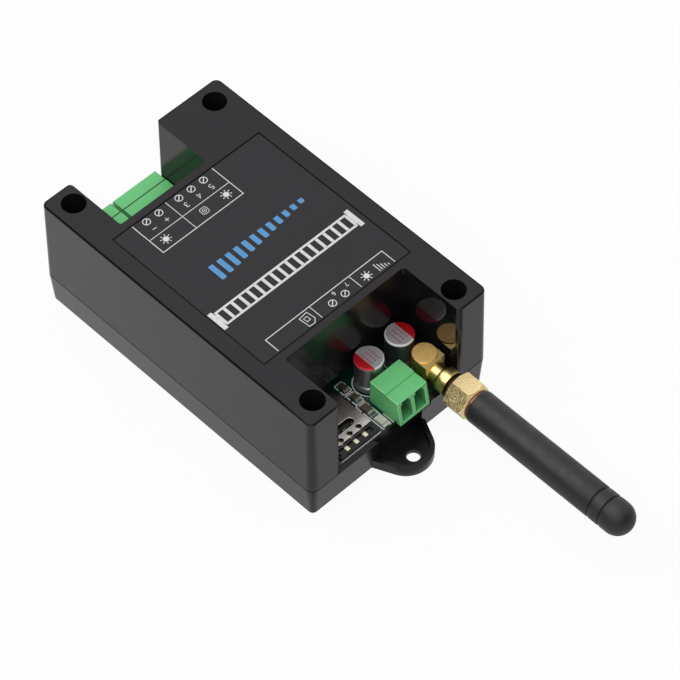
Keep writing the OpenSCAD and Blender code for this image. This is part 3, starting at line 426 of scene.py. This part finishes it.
def print_ink(name, col, rim=None, **sockets):
    """Printing ink or lacquer, uneven in tone; rim is a lighter colour painted on rounded edges as a painted
    highlight.
    """
    s = Shader(name, 0.5, **sockets)
    ink = s.ramp(s.noise(1200.0, 4.0, 0.7), (0.3, tone(col, 0.86)), (0.62, col))
    if rim:
        nz = s.normal()[2]
        # painted highlight: the rounded edges take the lighter rim colour
        ink = s.mix(s.span(nz, 0.9, 0.99, 1.0, 0.0), ink, rim)
    s.color(ink)
    s.rough(s.vary(0.42, 0.6, 2500.0, 2.0))
    s.bump(s.noise(6000.0, 2.0), 0.06, 0.01 * MM)
    return s.mat


JACK_GOLD = jack_gold()
GOLD_NUT = gold_nut()
CONTACT = contact_plate()
CARD_SHEET = card_sheet()
RUBBER = rubber()
BOARD = board()
LAMP = lamp_resin("lamp_resin", (0.80, 0.79, 0.70))
LAMP_GREEN = lamp_resin("lamp_resin_green", (0.45, 0.75, 0.42))
CERAMIC = ceramic()
LACQUER = {"Coat_Weight": 0.3, "Coat_Roughness": 0.2, "Specular_IOR_Level": 0.2}
WHITE_INK = print_ink("white_ink", (0.80, 0.80, 0.82))
BLUE_INK = print_ink("blue_ink", (0.10, 0.33, 0.66))
# painted highlights: the lighter rim colours of the red ink and the silver paint on the cans' rounded edges
RED_INK = print_ink("red_ink", (0.49, 0.002, 0.009), rim=(0.80, 0.012, 0.05), **LACQUER)
DULL_RED = print_ink("dull_red_ink", (0.36, 0.09, 0.11))
SILVER_PAINT = print_ink("silver_paint", (0.40, 0.385, 0.395), rim=(1.0, 0.99, 1.0), **LACQUER)
SILK = print_ink("silkscreen", (0.95, 0.97, 0.95))

for name, mat in {
        "base_shell": BASE, "top_cover": COVER, "label_plate": LABEL, "lid_screws": STEEL, "main_board": BOARD,
        "board_screws": STEEL, "power_header": GREEN, "power_header_pins": TIN, "relay_header": GREEN,
        "relay_header_pins": TIN, "switch_header": GREEN, "switch_header_pins": TIN, "capacitor_cans": CAN,
        "capacitor_seals": BLACK, "capacitor_leads": TIN, "jack_body": JACK_GOLD, "jack_cap": GOLD_SATIN,
        "jack_insulator": PTFE, "jack_contact": GOLD, "coupling_nut": GOLD_NUT, "antenna_ferrule": GOLD,
        "plug_insulator": PTFE, "plug_pin": GOLD, "antenna_ring": COPPER, "antenna_sleeve": RUBBER,
        "antenna_coil": COPPER_WIRE, "card_tray": BLACK, "card_contacts": CONTACT, "card_cover": CARD_SHEET,
        "reset_switch": NICKEL, "reset_button": BLACK, "run_lamp": LAMP_GREEN, "relay_lamp": LAMP,
        "signal_lamp": LAMP, "relay_case": RELAY, "relay_base": RELAY, "relay_pins": TIN, "modem_board": BOARD,
        "modem_shield": NICKEL, "controller_chip": BLACK, "regulator_chip": BLACK, "power_inductor": FERRITE,
        "input_diode": BLACK, "chip_parts": CERAMIC}.items():
    nodes[name].data.materials.clear()
    nodes[name].data.materials.append(mat)


# Edges of the carried-over nodes


def soften(name, width):
    """Rounds the sharp edges of a carried-over node by a hair."""
    o = nodes[name]
    weld = o.modifiers.new("weld", "WELD")
    weld.merge_threshold = 0.002 * MM
    bevel = o.modifiers.new("edge", "BEVEL")
    bevel.width = width * MM
    bevel.segments = 2
    bevel.limit_method = "ANGLE"
    bevel.angle_limit = math.radians(35.0)
    bevel.use_clamp_overlap = True
    bevel.harden_normals = False


for name, width in {"top_cover": 0.16, "base_shell": 0.16, "power_header": 0.12, "relay_header": 0.12,
                    "switch_header": 0.12, "coupling_nut": 0.08, "jack_body": 0.06, "jack_cap": 0.05,
                    "card_cover": 0.04, "card_tray": 0.05, "chip_parts": 0.05, "reset_switch": 0.08,
                    "reset_button": 0.1, "label_plate": 0.03, "main_board": 0.05}.items():
    soften(name, width)


# Thin print and small fittings, in millimetres


def circle(at, radius, count):
    turn = [math.tau * k / count for k in range(count)]
    return [(at[0] + radius * math.cos(a), at[1] + radius * math.sin(a)) for a in turn]


class Flat:
    """Collects thin raised shapes on a level plane and makes one piece of them."""

    def __init__(self, z, thick):
        self.z, self.thick = z, thick
        self.verts, self.faces = [], []

    def strip(self, left, right, closed):
        """A raised strip between two matching rows of points."""
        n, i = len(left), len(self.verts)
        for z in (self.z, self.z + self.thick):
            self.verts += [(x, y, z) for x, y in left] + [(x, y, z) for x, y in right]
        for a in range(n if closed else n - 1):
            b = (a + 1) % n
            self.faces += [(i + a, i + b, i + n + b, i + n + a),
                           (i + 2 * n + a, i + 3 * n + a, i + 3 * n + b, i + 2 * n + b),
                           (i + a, i + 2 * n + a, i + 2 * n + b, i + b),
                           (i + n + a, i + n + b, i + 3 * n + b, i + 3 * n + a)]
        if not closed:
            for a in (0, n - 1):
                self.faces.append((i + a, i + n + a, i + 3 * n + a, i + 2 * n + a))

    def stroke(self, points, width, closed=False):
        """A line of even width with mitred corners."""
        pts = [Vector(p) for p in points]
        left, right = [], []
        for k, p in enumerate(pts):
            prev = pts[k - 1] if k or closed else None
            after = pts[(k + 1) % len(pts)] if k < len(pts) - 1 or closed else None
            runs = [(p - prev).normalized()] if prev is not None else []
            runs += [(after - p).normalized()] if after is not None else []
            mean = sum(runs, Vector((0, 0))).normalized()
            side = Vector((-mean.y, mean.x))
            reach = width / 2 / max(0.4, side.dot(Vector((-runs[0].y, runs[0].x))))
            left.append(tuple(p + side * reach))
            right.append(tuple(p - side * reach))
        self.strip(left, right, closed)

    def ring(self, at, radius, width, count=36):
        self.strip(circle(at, radius + width / 2, count), circle(at, radius - width / 2, count), True)

    def fill(self, outline):
        n, i = len(outline), len(self.verts)
        for z in (self.z, self.z + self.thick):
            self.verts += [(x, y, z) for x, y in outline]
        self.faces += [tuple(range(i + n - 1, i - 1, -1)), tuple(range(i + n, i + 2 * n))]
        for a in range(n):
            b = (a + 1) % n
            self.faces.append((i + a, i + b, i + n + b, i + n + a))

    def disc(self, at, radius):
        self.fill(circle(at, radius, 32))

    def piece(self, name, mat, slot):
        piece(name, self.verts, self.faces, mat, slot)


def piece(name, verts, faces, mat, slot, body=BODY, smooth=False):
    """A mesh piece from points in millimetres, riding on a body."""
    mesh = bpy.data.meshes.new(name)
    mesh.from_pydata([(x * MM, y * MM, z * MM) for x, y, z in verts], [], faces)
    form = bmesh.new()
    form.from_mesh(mesh)
    bmesh.ops.recalc_face_normals(form, faces=form.faces)
    form.to_mesh(mesh)
    form.free()
    mesh.materials.append(mat)
    if smooth:
        mesh.shade_smooth()
    o = bpy.data.objects.new(name, mesh)
    bpy.context.scene.collection.objects.link(o)
    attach(o, body)
    return o


def lathe(verts, faces, outline, place, count):
    """Adds a closed outline of (along, radius) points turned about an axis; a radius of zero is one point."""
    rows = []
    for along, r in outline:
        rows.append([len(verts) + k for k in range(count)] if r else [len(verts)] * count)
        for k in range(count if r else 1):
            a = math.tau * k / count
            verts.append(place(along, r * math.cos(a), r * math.sin(a)))
    for i, row in enumerate(rows):
        after = rows[(i + 1) % len(rows)]
        if row[0] == row[1] and after[0] == after[1]:
            continue
        for k in range(count):
            m = (k + 1) % count
            faces.append(tuple(dict.fromkeys((row[k], row[m], after[m], after[k]))))


CREASE = math.radians(50)
LABEL_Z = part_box("label_plate")[1][2] / MM
BOARD_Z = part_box("main_board")[1][2] / MM
INK = 0.012
LINE = 0.2
THIN = LINE * 0.8


def screw_sign(ink, at):
    """A ring with a slanting bar: the top of a clamping screw."""
    ink.ring(at, 0.82, 0.19)
    reach = 0.5
    ink.stroke([(at[0] - reach, at[1] + reach), (at[0] + reach, at[1] - reach)], 0.22)


def lamp_sign(ink, at):
    """A filled spot with rays."""
    ink.disc(at, 0.68)
    rays, inner, outer = 8, 0.84, 1.28
    for k in range(rays):
        a = math.tau * (k + 0.5) / rays
        c, s = math.cos(a), math.sin(a)
        ink.stroke([(at[0] + inner * c, at[1] + inner * s), (at[0] + outer * c, at[1] + outer * s)], 0.2)


def button_sign(ink, at):
    """A rounded square with a ring and a spot."""
    h = 0.85
    c = 0.3
    ink.stroke([(at[0] - h + c, at[1] - h), (at[0] + h - c, at[1] - h), (at[0] + h, at[1] - h + c),
                (at[0] + h, at[1] + h - c), (at[0] + h - c, at[1] + h), (at[0] - h + c, at[1] + h),
                (at[0] - h, at[1] + h - c), (at[0] - h, at[1] - h + c)], 0.14, True)
    ink.ring(at, 0.45, 0.12)
    ink.disc(at, 0.16)


DIGITS = {
    "3": [(0.02, 0.88), (0.3, 1.0), (0.56, 0.88), (0.56, 0.65), (0.3, 0.52), (0.6, 0.38), (0.62, 0.16),
          (0.32, 0.0), (0.0, 0.12)],
    "4": [(0.48, 0.0), (0.48, 1.0), (0.0, 0.3), (0.66, 0.3)],
    "5": [(0.58, 1.0), (0.1, 1.0), (0.05, 0.56), (0.36, 0.62), (0.6, 0.45), (0.6, 0.18), (0.32, 0.0),
          (0.0, 0.1)],
    "6": [(0.52, 0.98), (0.2, 0.78), (0.04, 0.4), (0.12, 0.08), (0.36, 0.0), (0.6, 0.12), (0.6, 0.42),
          (0.36, 0.56), (0.08, 0.44)],
    "7": [(0.0, 1.0), (0.62, 1.0), (0.22, 0.0)],
}


def digit(ink, mark, at, high, width=0.15):
    """A plain number that reads towards -Y with its head towards +X."""
    ink.stroke([(at[0] + (v - 0.5) * high, at[1] - (u - 0.31) * high) for u, v in DIGITS[mark]], width)


def power_table(ink):
    """The table at the power end: terminals with their signs, two lamps and the button."""
    near, middle, far = -22.3, -17.07, -12.85
    left, split, right = -15.4, -6.2, 6.92
    ink.stroke([(near, left), (far, left), (far, right), (near, right)], LINE)
    ink.stroke([(middle, left + LINE), (middle, split - 0.12)], THIN)
    ink.stroke([(middle, split + 0.12), (middle, right - LINE)], THIN)
    ink.stroke([(near, split), (far - 0.13, split)], THIN)
    screw_x, mark_x, sign_x = -21.2, -18.75, -15.1
    minus_y, plus_y, relay_y = -12.4, -8.98, (-3.42, 0.02, 3.48)
    for y in (minus_y, plus_y, *relay_y):
        screw_sign(ink, (screw_x, y))
    for mark, y in zip("345", relay_y):
        digit(ink, mark, (mark_x, y), 1.3)
    bar, reach, hub = 0.18, 0.52, 0.12
    ink.stroke([(mark_x, plus_y - reach), (mark_x, plus_y + reach)], bar)
    for a, b in ((-reach, -hub), (hub, reach)):
        ink.stroke([(mark_x + a, plus_y), (mark_x + b, plus_y)], bar)
    ink.stroke([(mark_x, minus_y - 0.5), (mark_x, minus_y + 0.5)], bar)
    lamp_sign(ink, (sign_x, -12.6))
    lamp_sign(ink, (sign_x, 4.2))
    button_sign(ink, (sign_x, -1.92))


def aerial_table(ink):
    """The table at the aerial end: card, switch terminals, lamp and level of the signal."""
    near, far = 17.95, 21.75
    left, right = -16.1, 16.5
    ink.stroke([(far, left), (near, left), (near, right), (far, right)], LINE)
    for y in (-4.0, 7.1):
        ink.stroke([(near + LINE / 2 + 0.02, y), (far, y)], THIN)
    ink.stroke([(18.87, -7.62), (18.57, -5.38), (20.78, -5.09), (21.72, -5.97), (21.62, -7.37)], 0.17, True)
    ink.stroke([(19.45, -7.0), (20.5, -6.86), (20.4, -5.95), (19.35, -6.09)], 0.15, True)
    for y in (0.0, 3.52):
        screw_sign(ink, (20.6, y))
    for mark, y in (("6", 1.9), ("7", 5.4)):
        digit(ink, mark, (19.05, y), 0.95, 0.13)
    lamp_sign(ink, (20.4, 9.78))
    foot, first, step = 21.5, 12.75, 0.62
    for k, long in enumerate((2.3, 1.85, 1.4, 0.95, 0.5)):
        y = first + step * k
        ink.stroke([(foot - long, y), (foot, y)], 0.2)


def gate(ink):
    """A sliding gate: two posts, two rails and upright bars."""
    low, high = 5.5, 9.9
    left, right = 18.6, -19.6
    post, bars = 0.55, 17
    for y in (left, right):
        ink.fill([(low - 0.3, y - post), (high + 0.5, y - post), (high + 0.5, y + post), (low - 0.3, y + post)])
    for x in (low + 0.5, high - 0.35):
        ink.stroke([(x, left - 0.75), (x, right + 0.75)], 0.5)
    step = (left - right - 1.9) / bars
    for k in range(bars + 1):
        y = left - 0.95 - step * k
        ink.stroke([(low + 0.78, y), (high - 0.63, y)], 0.72)


def level_bars(ink):
    """Bars that grow towards the end of the row."""
    count, foot = 12, -3.7
    half, cut = 0.62, 0.25
    for k in range(count):
        y = 14.0 - 25.0 * k / (count - 1)
        head = foot + (0.9 + 3.6 * (k + 1) / count)
        ink.fill([(foot, y - half), (head - cut, y - half), (head, y - half + cut),
                  (head, y + half - cut), (head - cut, y + half), (foot, y + half)])


def label_print():
    white = Flat(LABEL_Z, INK)
    power_table(white)
    aerial_table(white)
    gate(white)
    white.piece("label_print", WHITE_INK, "label_film")
    blue = Flat(LABEL_Z, INK)
    level_bars(blue)
    blue.piece("label_bars", BLUE_INK, "label_film")


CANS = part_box("capacitor_cans")
CAN_X = centre(CANS)[0]
CAN_Z = CANS[1][2] / MM
CAN_R = (CANS[1][0] - CANS[0][0]) / 2 / MM
CAN_Y = (CANS[0][1] / MM + CAN_R, CANS[1][1] / MM - CAN_R)
CAN_EDGE = 0.35
CAN_INNER = CAN_R - CAN_EDGE


def can_edge(lift):
    """The rounded upper edge of a can as (radius, height) points, lifted off the metal."""
    steps, reach = 6, CAN_EDGE + lift
    turn = [math.pi / 2 * k / steps for k in range(steps + 1)]
    return [(CAN_INNER + reach * math.sin(a), CAN_Z - CAN_EDGE + reach * math.cos(a)) for a in turn]


def half_moon(verts, faces, y, sense, low, high):
    """Adds a closed sheet over the outer part of a can's top and its rounded edge."""
    chord, count = 0.41 * CAN_INNER, 29
    start, rows = len(verts), len(can_edge(low))
    for lift in (low, high):
        for r, z in can_edge(lift):
            half = math.acos(chord / r)
            for k in range(count):
                a = math.pi / 2 * sense - half + 2 * half * k / (count - 1)
                verts.append((CAN_X + r * math.cos(a), y + r * math.sin(a), z))

    def at(layer, row, k):
        return start + (layer * rows + row) * count + k

    last, end = rows - 1, count - 1
    for layer in (0, 1):
        faces.append(tuple(at(layer, 0, k) for k in range(count)))
        for row in range(last):
            for k in range(end):
                faces.append((at(layer, row, k), at(layer, row, k + 1),
                              at(layer, row + 1, k + 1), at(layer, row + 1, k)))
    faces.append((at(0, 0, 0), at(0, 0, end), at(1, 0, end), at(1, 0, 0)))
    for k in range(end):
        faces.append((at(0, last, k), at(0, last, k + 1), at(1, last, k + 1), at(1, last, k)))
    for k in (0, end):
        for row in range(last):
            faces.append((at(0, row, k), at(0, row + 1, k), at(1, row + 1, k), at(1, row, k)))


def can_marks():
    """Lacquered tops of the cans: a coloured half-moon on the outer side and three rows of short dashes."""
    coat = 0.008
    top, red = ([], []), ([], [])
    dull = Flat(CAN_Z + coat, 0.007)
    foot = CAN_Z - CAN_EDGE - 0.1
    outline = [(CAN_Z + coat, 0.0)] + [(z, r) for r, z in can_edge(coat)]
    outline += [(foot, CAN_R + coat), (foot, CAN_R), (CAN_Z - CAN_EDGE, CAN_R),
                (CAN_Z, CAN_INNER), (CAN_Z, 0.0)]
    for y, sense in zip(CAN_Y, (-1, 1)):
        lathe(*top, outline, lambda z, u, v: (CAN_X + u, y + v, z), 56)
        half_moon(*red, y, sense, coat, 2 * coat)
        for row, reach in ((-0.55, 1.75), (0.45, 1.95), (1.45, 1.45)):
            v = y - sense * row
            for k in range(-2, 3):
                u = CAN_X + k * 0.72
                if abs(u - CAN_X) < reach:
                    dull.stroke([(u - 0.22, v), (u + 0.22, v)], 0.34)
    for name, form, mat in (("capacitor_tops", top, SILVER_PAINT), ("capacitor_marks", red, RED_INK)):
        o = piece(name, *form, mat, "can", smooth=True)
        o.data.set_sharp_from_angle(angle=CREASE)
    dull.piece("capacitor_dashes", DULL_RED, "can")


LAMP_X, ROW_Y, _ = centre(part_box("signal_lamp"))
# Chip parts in the lamp's row: middle, size, and size of the brackets printed round them
CHIPS = (((24.85, ROW_Y + 0.3), (2.0, 1.25, 0.8), (3.1, 2.1)),
         ((28.35, ROW_Y + 0.3), (2.0, 1.25, 0.8), (3.1, 2.1)),
         ((32.1, ROW_Y), (3.2, 1.6, 0.7), (4.2, 2.3)))


def brackets(silk, at, long, wide):
    """A pair of brackets that face each other along X."""
    x, y = at
    width, gap, c, h = 0.25, 0.5, 0.25, wide / 2
    for sense in (-1, 1):
        end = x + sense * long / 2
        near = x + sense * gap / 2
        silk.stroke([(near, y - h), (end - sense * c, y - h), (end, y - h + c),
                     (end, y + h - c), (end - sense * c, y + h), (near, y + h)], width)


def silkscreen():
    """White print on the board: frames of the parts, rings of the cans and a few lines."""
    silk = Flat(BOARD_Z, 0.015)
    for at, _, frame_size in CHIPS:
        brackets(silk, at, *frame_size)
    h, back, shoulder, nose, tip = 1.12, LAMP_X - 2.2, LAMP_X + 1.5, LAMP_X + 2.15, 0.45
    silk.stroke([(back, ROW_Y - h), (shoulder, ROW_Y - h), (nose, ROW_Y - tip),
                 (nose, ROW_Y + tip), (shoulder, ROW_Y + h), (back, ROW_Y + h)], 0.2, True)
    for y in CAN_Y:
        silk.ring((CAN_X, y), CAN_R + 0.32, 0.22, 64)
    silk.stroke([(38.15, -14.7), (38.15, -3.55)], 0.34)
    silk.stroke([(35.2, 0.0), (38.25, 0.0)], 0.2)
    for x in (25.9, 26.7):
        silk.stroke([(x, -2.9), (x, -2.35)], 0.12)
    brackets(silk, centre(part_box("reset_switch"))[:2], 6.5, 6.5)
    for lamp in ("run_lamp", "relay_lamp"):
        brackets(silk, centre(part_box(lamp))[:2], 4.4, 2.2)
    silk.piece("board_silkscreen", SILK, "board")


def header_joint_shade():
    """A flat dark strip across the top of each header at the power end: painted shade standing for the open
    joint.
    """
    joint = Flat(BOARD_Z + 6.43, 0.035)
    inset = 0.08
    for node in ("power_header", "relay_header"):
        lo, hi = in_mm(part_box(node))
        near, far = hi[0] - 4.53, hi[0] - 4.9
        left, right = lo[1] + inset, hi[1] - inset
        joint.fill([(far, left), (near, left), (near, right), (far, right)])
    joint.piece("header_joint_shade", JOINT_SHADE_GREEN, "green_plastic")


def chip_ends():
    """Tinned ends and solder fillets of the chip parts."""
    verts, faces = [], []

    def block(lo, hi, toe):
        """A capped end; its foot runs out by toe towards the pad."""
        i, c, tall = len(verts), 0.06, hi[2] - lo[2]
        out, into = (hi[0], lo[0]) if toe > 0 else (lo[0], hi[0])
        section = [(into, 0.0), (out + toe, 0.0), (out + toe * 0.35, tall * 0.3), (out, tall * 0.75),
                   (out, tall - c), (out - math.copysign(c, toe), tall), (into, tall)]
        for y in (lo[1], hi[1]):
            verts.extend((x, y, lo[2] + z) for x, z in section)
        n = len(section)
        faces.append(tuple(range(i, i + n)))
        faces.append(tuple(range(i + 2 * n - 1, i + n - 1, -1)))
        for k in range(n):
            m = (k + 1) % n
            faces.append((i + k, i + n + k, i + n + m, i + m))

    skin, toe = 0.025, 0.2
    for (x, y), (long, wide, high), _ in CHIPS:
        for sense in (-1, 1):
            edge = x + sense * (long / 2 + skin)
            deep = edge - sense * long * 0.16
            lo = (min(edge, deep), y - wide / 2 - skin, BOARD_Z)
            hi = (max(edge, deep), y + wide / 2 + skin, BOARD_Z + high + skin)
            block(lo, hi, sense * toe)
    piece("chip_ends", verts, faces, TIN, "tin")


def sweep(name, path, z, profile):
    """A closed bead on the card cover: a profile of (outwards, up) points carried round a level path."""
    verts, faces = [], []
    n, m = len(path), len(profile)
    for k, (x, y) in enumerate(path):
        (x0, y0), (x1, y1) = path[k - 1], path[(k + 1) % n]
        out = Vector((y1 - y0, x0 - x1)).normalized()
        verts += [(x + out.x * u, y + out.y * u, z + v) for u, v in profile]
    for k in range(n):
        for j in range(m):
            a, b = k * m + j, k * m + (j + 1) % m
            c, d = (k + 1) % n * m + (j + 1) % m, (k + 1) % n * m + j
            faces.append((a, b, c, d))
    piece(name, verts, faces, TIN, "nickel", "cover", smooth=True)


def card_rims():
    """The pressed rim round the oblong slot of the card cover, and one round each hole."""
    lo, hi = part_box("card_cover")
    end, top = hi[0] / MM, hi[2] / MM
    mid = (lo[1] + hi[1]) / 2 / MM
    slot_r, slot_half, slot_x = 1.06, 2.0, end - 2.87
    hole_r, hole_x, pitch = 0.67, end - 0.75, 2.54
    path, steps = [], 12
    for sense, start in ((1, 0.0), (-1, math.pi)):
        for k in range(steps + 1):
            a = math.pi * k / steps + start
            path.append((slot_x + slot_r * math.cos(a), mid + sense * slot_half + slot_r * math.sin(a)))
    arc = [math.pi * k / 6 for k in range(7)]
    bead = [(0.13 * math.cos(a), 0.11 * math.sin(a)) for a in arc] + [(0.0, -0.05)]
    sweep("card_slot_rim", path, top, bead)
    small = [(u * 0.7, v * 0.7) for u, v in bead]
    for i, off in enumerate((-pitch, 0.0, pitch)):
        sweep(f"card_hole_rim_{i + 1}", circle((hole_x, mid + off), hole_r, 24), top, small)


def jack_thread():
    """The rolled thread on the jack, a closed helical ridge that rises and falls at its ends."""
    _, axis_y, axis_z = centre(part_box("coupling_nut"))
    pitch, turns, steps = 0.7056, 4.3, 30
    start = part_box("jack_body")[1][0] / MM - 4.95 * pitch + 0.3
    root, crest_low, ridge, fade = 3.04, 3.06, 0.11, 2.0
    verts, faces = [], []
    count = int(turns * steps)
    for k in range(count + 1):
        a = math.tau * k / steps
        rise = min(1.0, k / steps * fade, (count - k) / steps * fade)
        crest = crest_low + ridge * rise
        x = start + pitch * k / steps
        for off, r in ((-0.26, root), (-0.05, crest), (0.05, crest), (0.26, root)):
            verts.append((x + off, axis_y + r * math.cos(a), axis_z + r * math.sin(a)))
    for k in range(count):
        i = 4 * k
        for j in range(4):
            n = (j + 1) % 4
            faces.append((i + j, i + n, i + 4 + n, i + 4 + j))
    faces += [(0, 1, 2, 3), tuple(4 * count + j for j in (3, 2, 1, 0))]
    piece("jack_thread", verts, faces, GOLD, "gold")


def sleeve():
    """The rubber sleeve: a turned tube with a bevelled mouth, two grooves and a half-round tip."""
    (x0, y0, z0), (x1, y1, z1) = in_mm(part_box("antenna_sleeve"))
    coil_lo, coil_hi = in_mm(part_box("antenna_coil"))
    r, axis_y, axis_z = (z1 - z0) / 2, (y0 + y1) / 2, (z0 + z1) / 2
    bore, neck = 1.9, x0 + 4.6
    room, deep = (coil_hi[2] - coil_lo[2]) / 2 + 0.05, coil_hi[0] + 0.5
    groove, last_groove, apart = 0.42, x1 - 5.94, 2.92
    outline = [(x0, bore), (x0, r - 0.34), (x0 + 0.12, r - 0.16), (x0 + 0.28, r - 0.05), (x0 + 0.5, r)]
    for at in (last_groove - apart, last_groove):
        outline += [(at - 0.42, r), (at - 0.3, r - 0.04), (at - 0.13, r - groove), (at + 0.13, r - groove),
                    (at + 0.3, r - 0.04), (at + 0.42, r)]
    steps = 16
    turn = [math.pi / 2 * k / steps for k in range(steps)]
    outline += [(x1 - r + r * math.sin(a), r * math.cos(a)) for a in turn]
    outline += [(x1, 0.0), (deep, 0.0), (deep, room), (neck, room), (neck, bore)]
    verts, faces = [], []
    lathe(verts, faces, outline, lambda x, u, v: (x, axis_y + u, axis_z + v), 80)
    o = piece("aerial_sleeve_skin", verts, faces, RUBBER, "rubber", "aerial", smooth=True)
    o.data.set_sharp_from_angle(angle=CREASE)
    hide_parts("antenna_sleeve")


sleeve()
card_rims()
jack_thread()
label_print()
can_marks()
silkscreen()
header_joint_shade()
chip_ends()

# Stage, camera and light, in metres

FLOOR_GREY = (0.86, 0.86, 0.86, 1)
FLOOR_HALF = 6.0
# How much of the floor's colour is its own glow for rays that show it
FLOOR_SEEN = 0.94
# The glow that gloss shows, painted darker towards the near end as a painted shadow: from X, to X, and its
# strength at each
FLOOR_GLOSS_SHADOW = (-50.0 * MM, 25.0 * MM, 1.0, 0.78)
WORLD_LIGHT = 0.45
WHITE = 1.0


def seen_rays(t):
    """One for rays that show the ground: from the camera, off a gloss or through something clear."""
    path = t.add("ShaderNodeLightPath")
    total = path.outputs["Is Camera Ray"]
    for other in ("Is Glossy Ray", "Is Transmission Ray"):
        total = t.math("MAXIMUM", total, path.outputs[other])
    return total


def floor_material():
    """A pale floor; its glow, as gloss shows it, is painted a little darker towards the near end of the part,
    as a painted shadow.
    """
    mat = bpy.data.materials.new("studio_floor")
    mat.use_nodes = True
    t = Nodes(mat.node_tree)
    diffuse = t.add("ShaderNodeBsdfDiffuse")
    diffuse.inputs["Color"].default_value = FLOOR_GREY
    x = t.split(t.add("ShaderNodeNewGeometry").outputs["Position"])[0]
    camera = t.add("ShaderNodeLightPath").outputs["Is Camera Ray"]
    glow = t.add("ShaderNodeEmission")
    # painted shadow: the glow seen by gloss falls along X
    t.link(t.math("MAXIMUM", t.span(x, *FLOOR_GLOSS_SHADOW), camera), glow.inputs["Strength"])
    mix = t.add("ShaderNodeMixShader")
    t.link(t.math("MULTIPLY", seen_rays(t), FLOOR_SEEN), mix.inputs[0])
    t.link(diffuse.outputs[0], mix.inputs[1])
    t.link(glow.outputs[0], mix.inputs[2])
    t.link(mix.outputs[0], t.add("ShaderNodeOutputMaterial").inputs["Surface"])
    return mat


def sheet(name, corners, mat):
    """A flat sheet of the stage."""
    mesh = bpy.data.meshes.new(name)
    mesh.from_pydata(corners, [], [(0, 1, 2, 3)])
    mesh.materials.append(mat)
    o = bpy.data.objects.new(name, mesh)
    bpy.context.scene.collection.objects.link(o)
    return o


def dark_card(name, a, b, low, high):
    """An upright dark card from a to b in plan: it gives the rounded edges something dark to show."""
    mat = bpy.data.materials.new(name)
    mat.use_nodes = True
    shade = mat.node_tree.nodes["Principled BSDF"]
    shade.inputs["Base Color"].default_value = (0.01, 0.01, 0.01, 1)
    shade.inputs["Roughness"].default_value = 0.9
    o = sheet(name, [(*a, low), (*b, low), (*b, high), (*a, high)], mat)
    o.visible_camera = False


sheet("floor", [(u * FLOOR_HALF, v * FLOOR_HALF, 0.0) for u, v in ((-1, -1), (1, -1), (1, 1), (-1, 1))],
      floor_material())
dark_card("card_left", (-1.5, -0.9), (0.3, -0.9), 0.1, 0.72)
dark_card("card_right", (0.95, -0.6), (0.95, 1.5), 0.05, 0.8)

CAMERA_AT = Vector((359.03, -322.93, 626.87)) * MM
CAMERA_TO = Vector((18.284, 4.190, 12.225)) * MM
CAMERA_ROLL = math.radians(-0.543)
CAMERA_LENS = 199.69


def make_camera():
    data = bpy.data.cameras.new("camera")
    data.sensor_width = 36.0
    data.sensor_fit = "HORIZONTAL"
    data.lens = CAMERA_LENS
    data.clip_start = 0.01
    data.clip_end = 50.0
    o = bpy.data.objects.new("camera", data)
    bpy.context.scene.collection.objects.link(o)
    ahead = (CAMERA_TO - CAMERA_AT).normalized()
    right = ahead.cross(Vector((0, 0, 1))).normalized()
    up = right.cross(ahead)
    c, s = math.cos(CAMERA_ROLL), math.sin(CAMERA_ROLL)
    right, up = right * c + up * s, up * c - right * s
    turn = Matrix((right, up, -ahead)).transposed().to_4x4()
    o.matrix_world = Matrix.Translation(CAMERA_AT) @ turn
    bpy.context.scene.camera = o


def softbox(name, at, to, size, watts):
    """A square lamp of a given width, turned towards a point."""
    data = bpy.data.lights.new(name, "AREA")
    data.shape = "RECTANGLE"
    data.size = data.size_y = size
    data.energy = watts
    o = bpy.data.objects.new(name, data)
    bpy.context.scene.collection.objects.link(o)
    o.location = at
    o.rotation_euler = (Vector(to) - Vector(at)).to_track_quat("-Z", "Y").to_euler()


def make_world():
    """A white world that lights the part less than it shows."""
    world = bpy.data.worlds.new("studio")
    bpy.context.scene.world = world
    world.use_nodes = True
    t = Nodes(world.node_tree)
    back = t.add("ShaderNodeBackground")
    back.inputs["Color"].default_value = (1, 1, 1, 1)
    t.link(t.pick(seen_rays(t), WORLD_LIGHT, WHITE), back.inputs["Strength"])
    t.link(back.outputs[0], t.add("ShaderNodeOutputWorld").inputs["Surface"])


make_camera()
softbox("overhead", (-0.45, -0.45, 1.15), (0.0, 0.0, 0.0), 1.5, 11.5)
softbox("front", (0.42, -0.44, 0.62), (0.02, 0.0, 0.01), 0.22, 0.9)
make_world()
view = bpy.context.scene.view_settings
view.view_transform = "Standard"
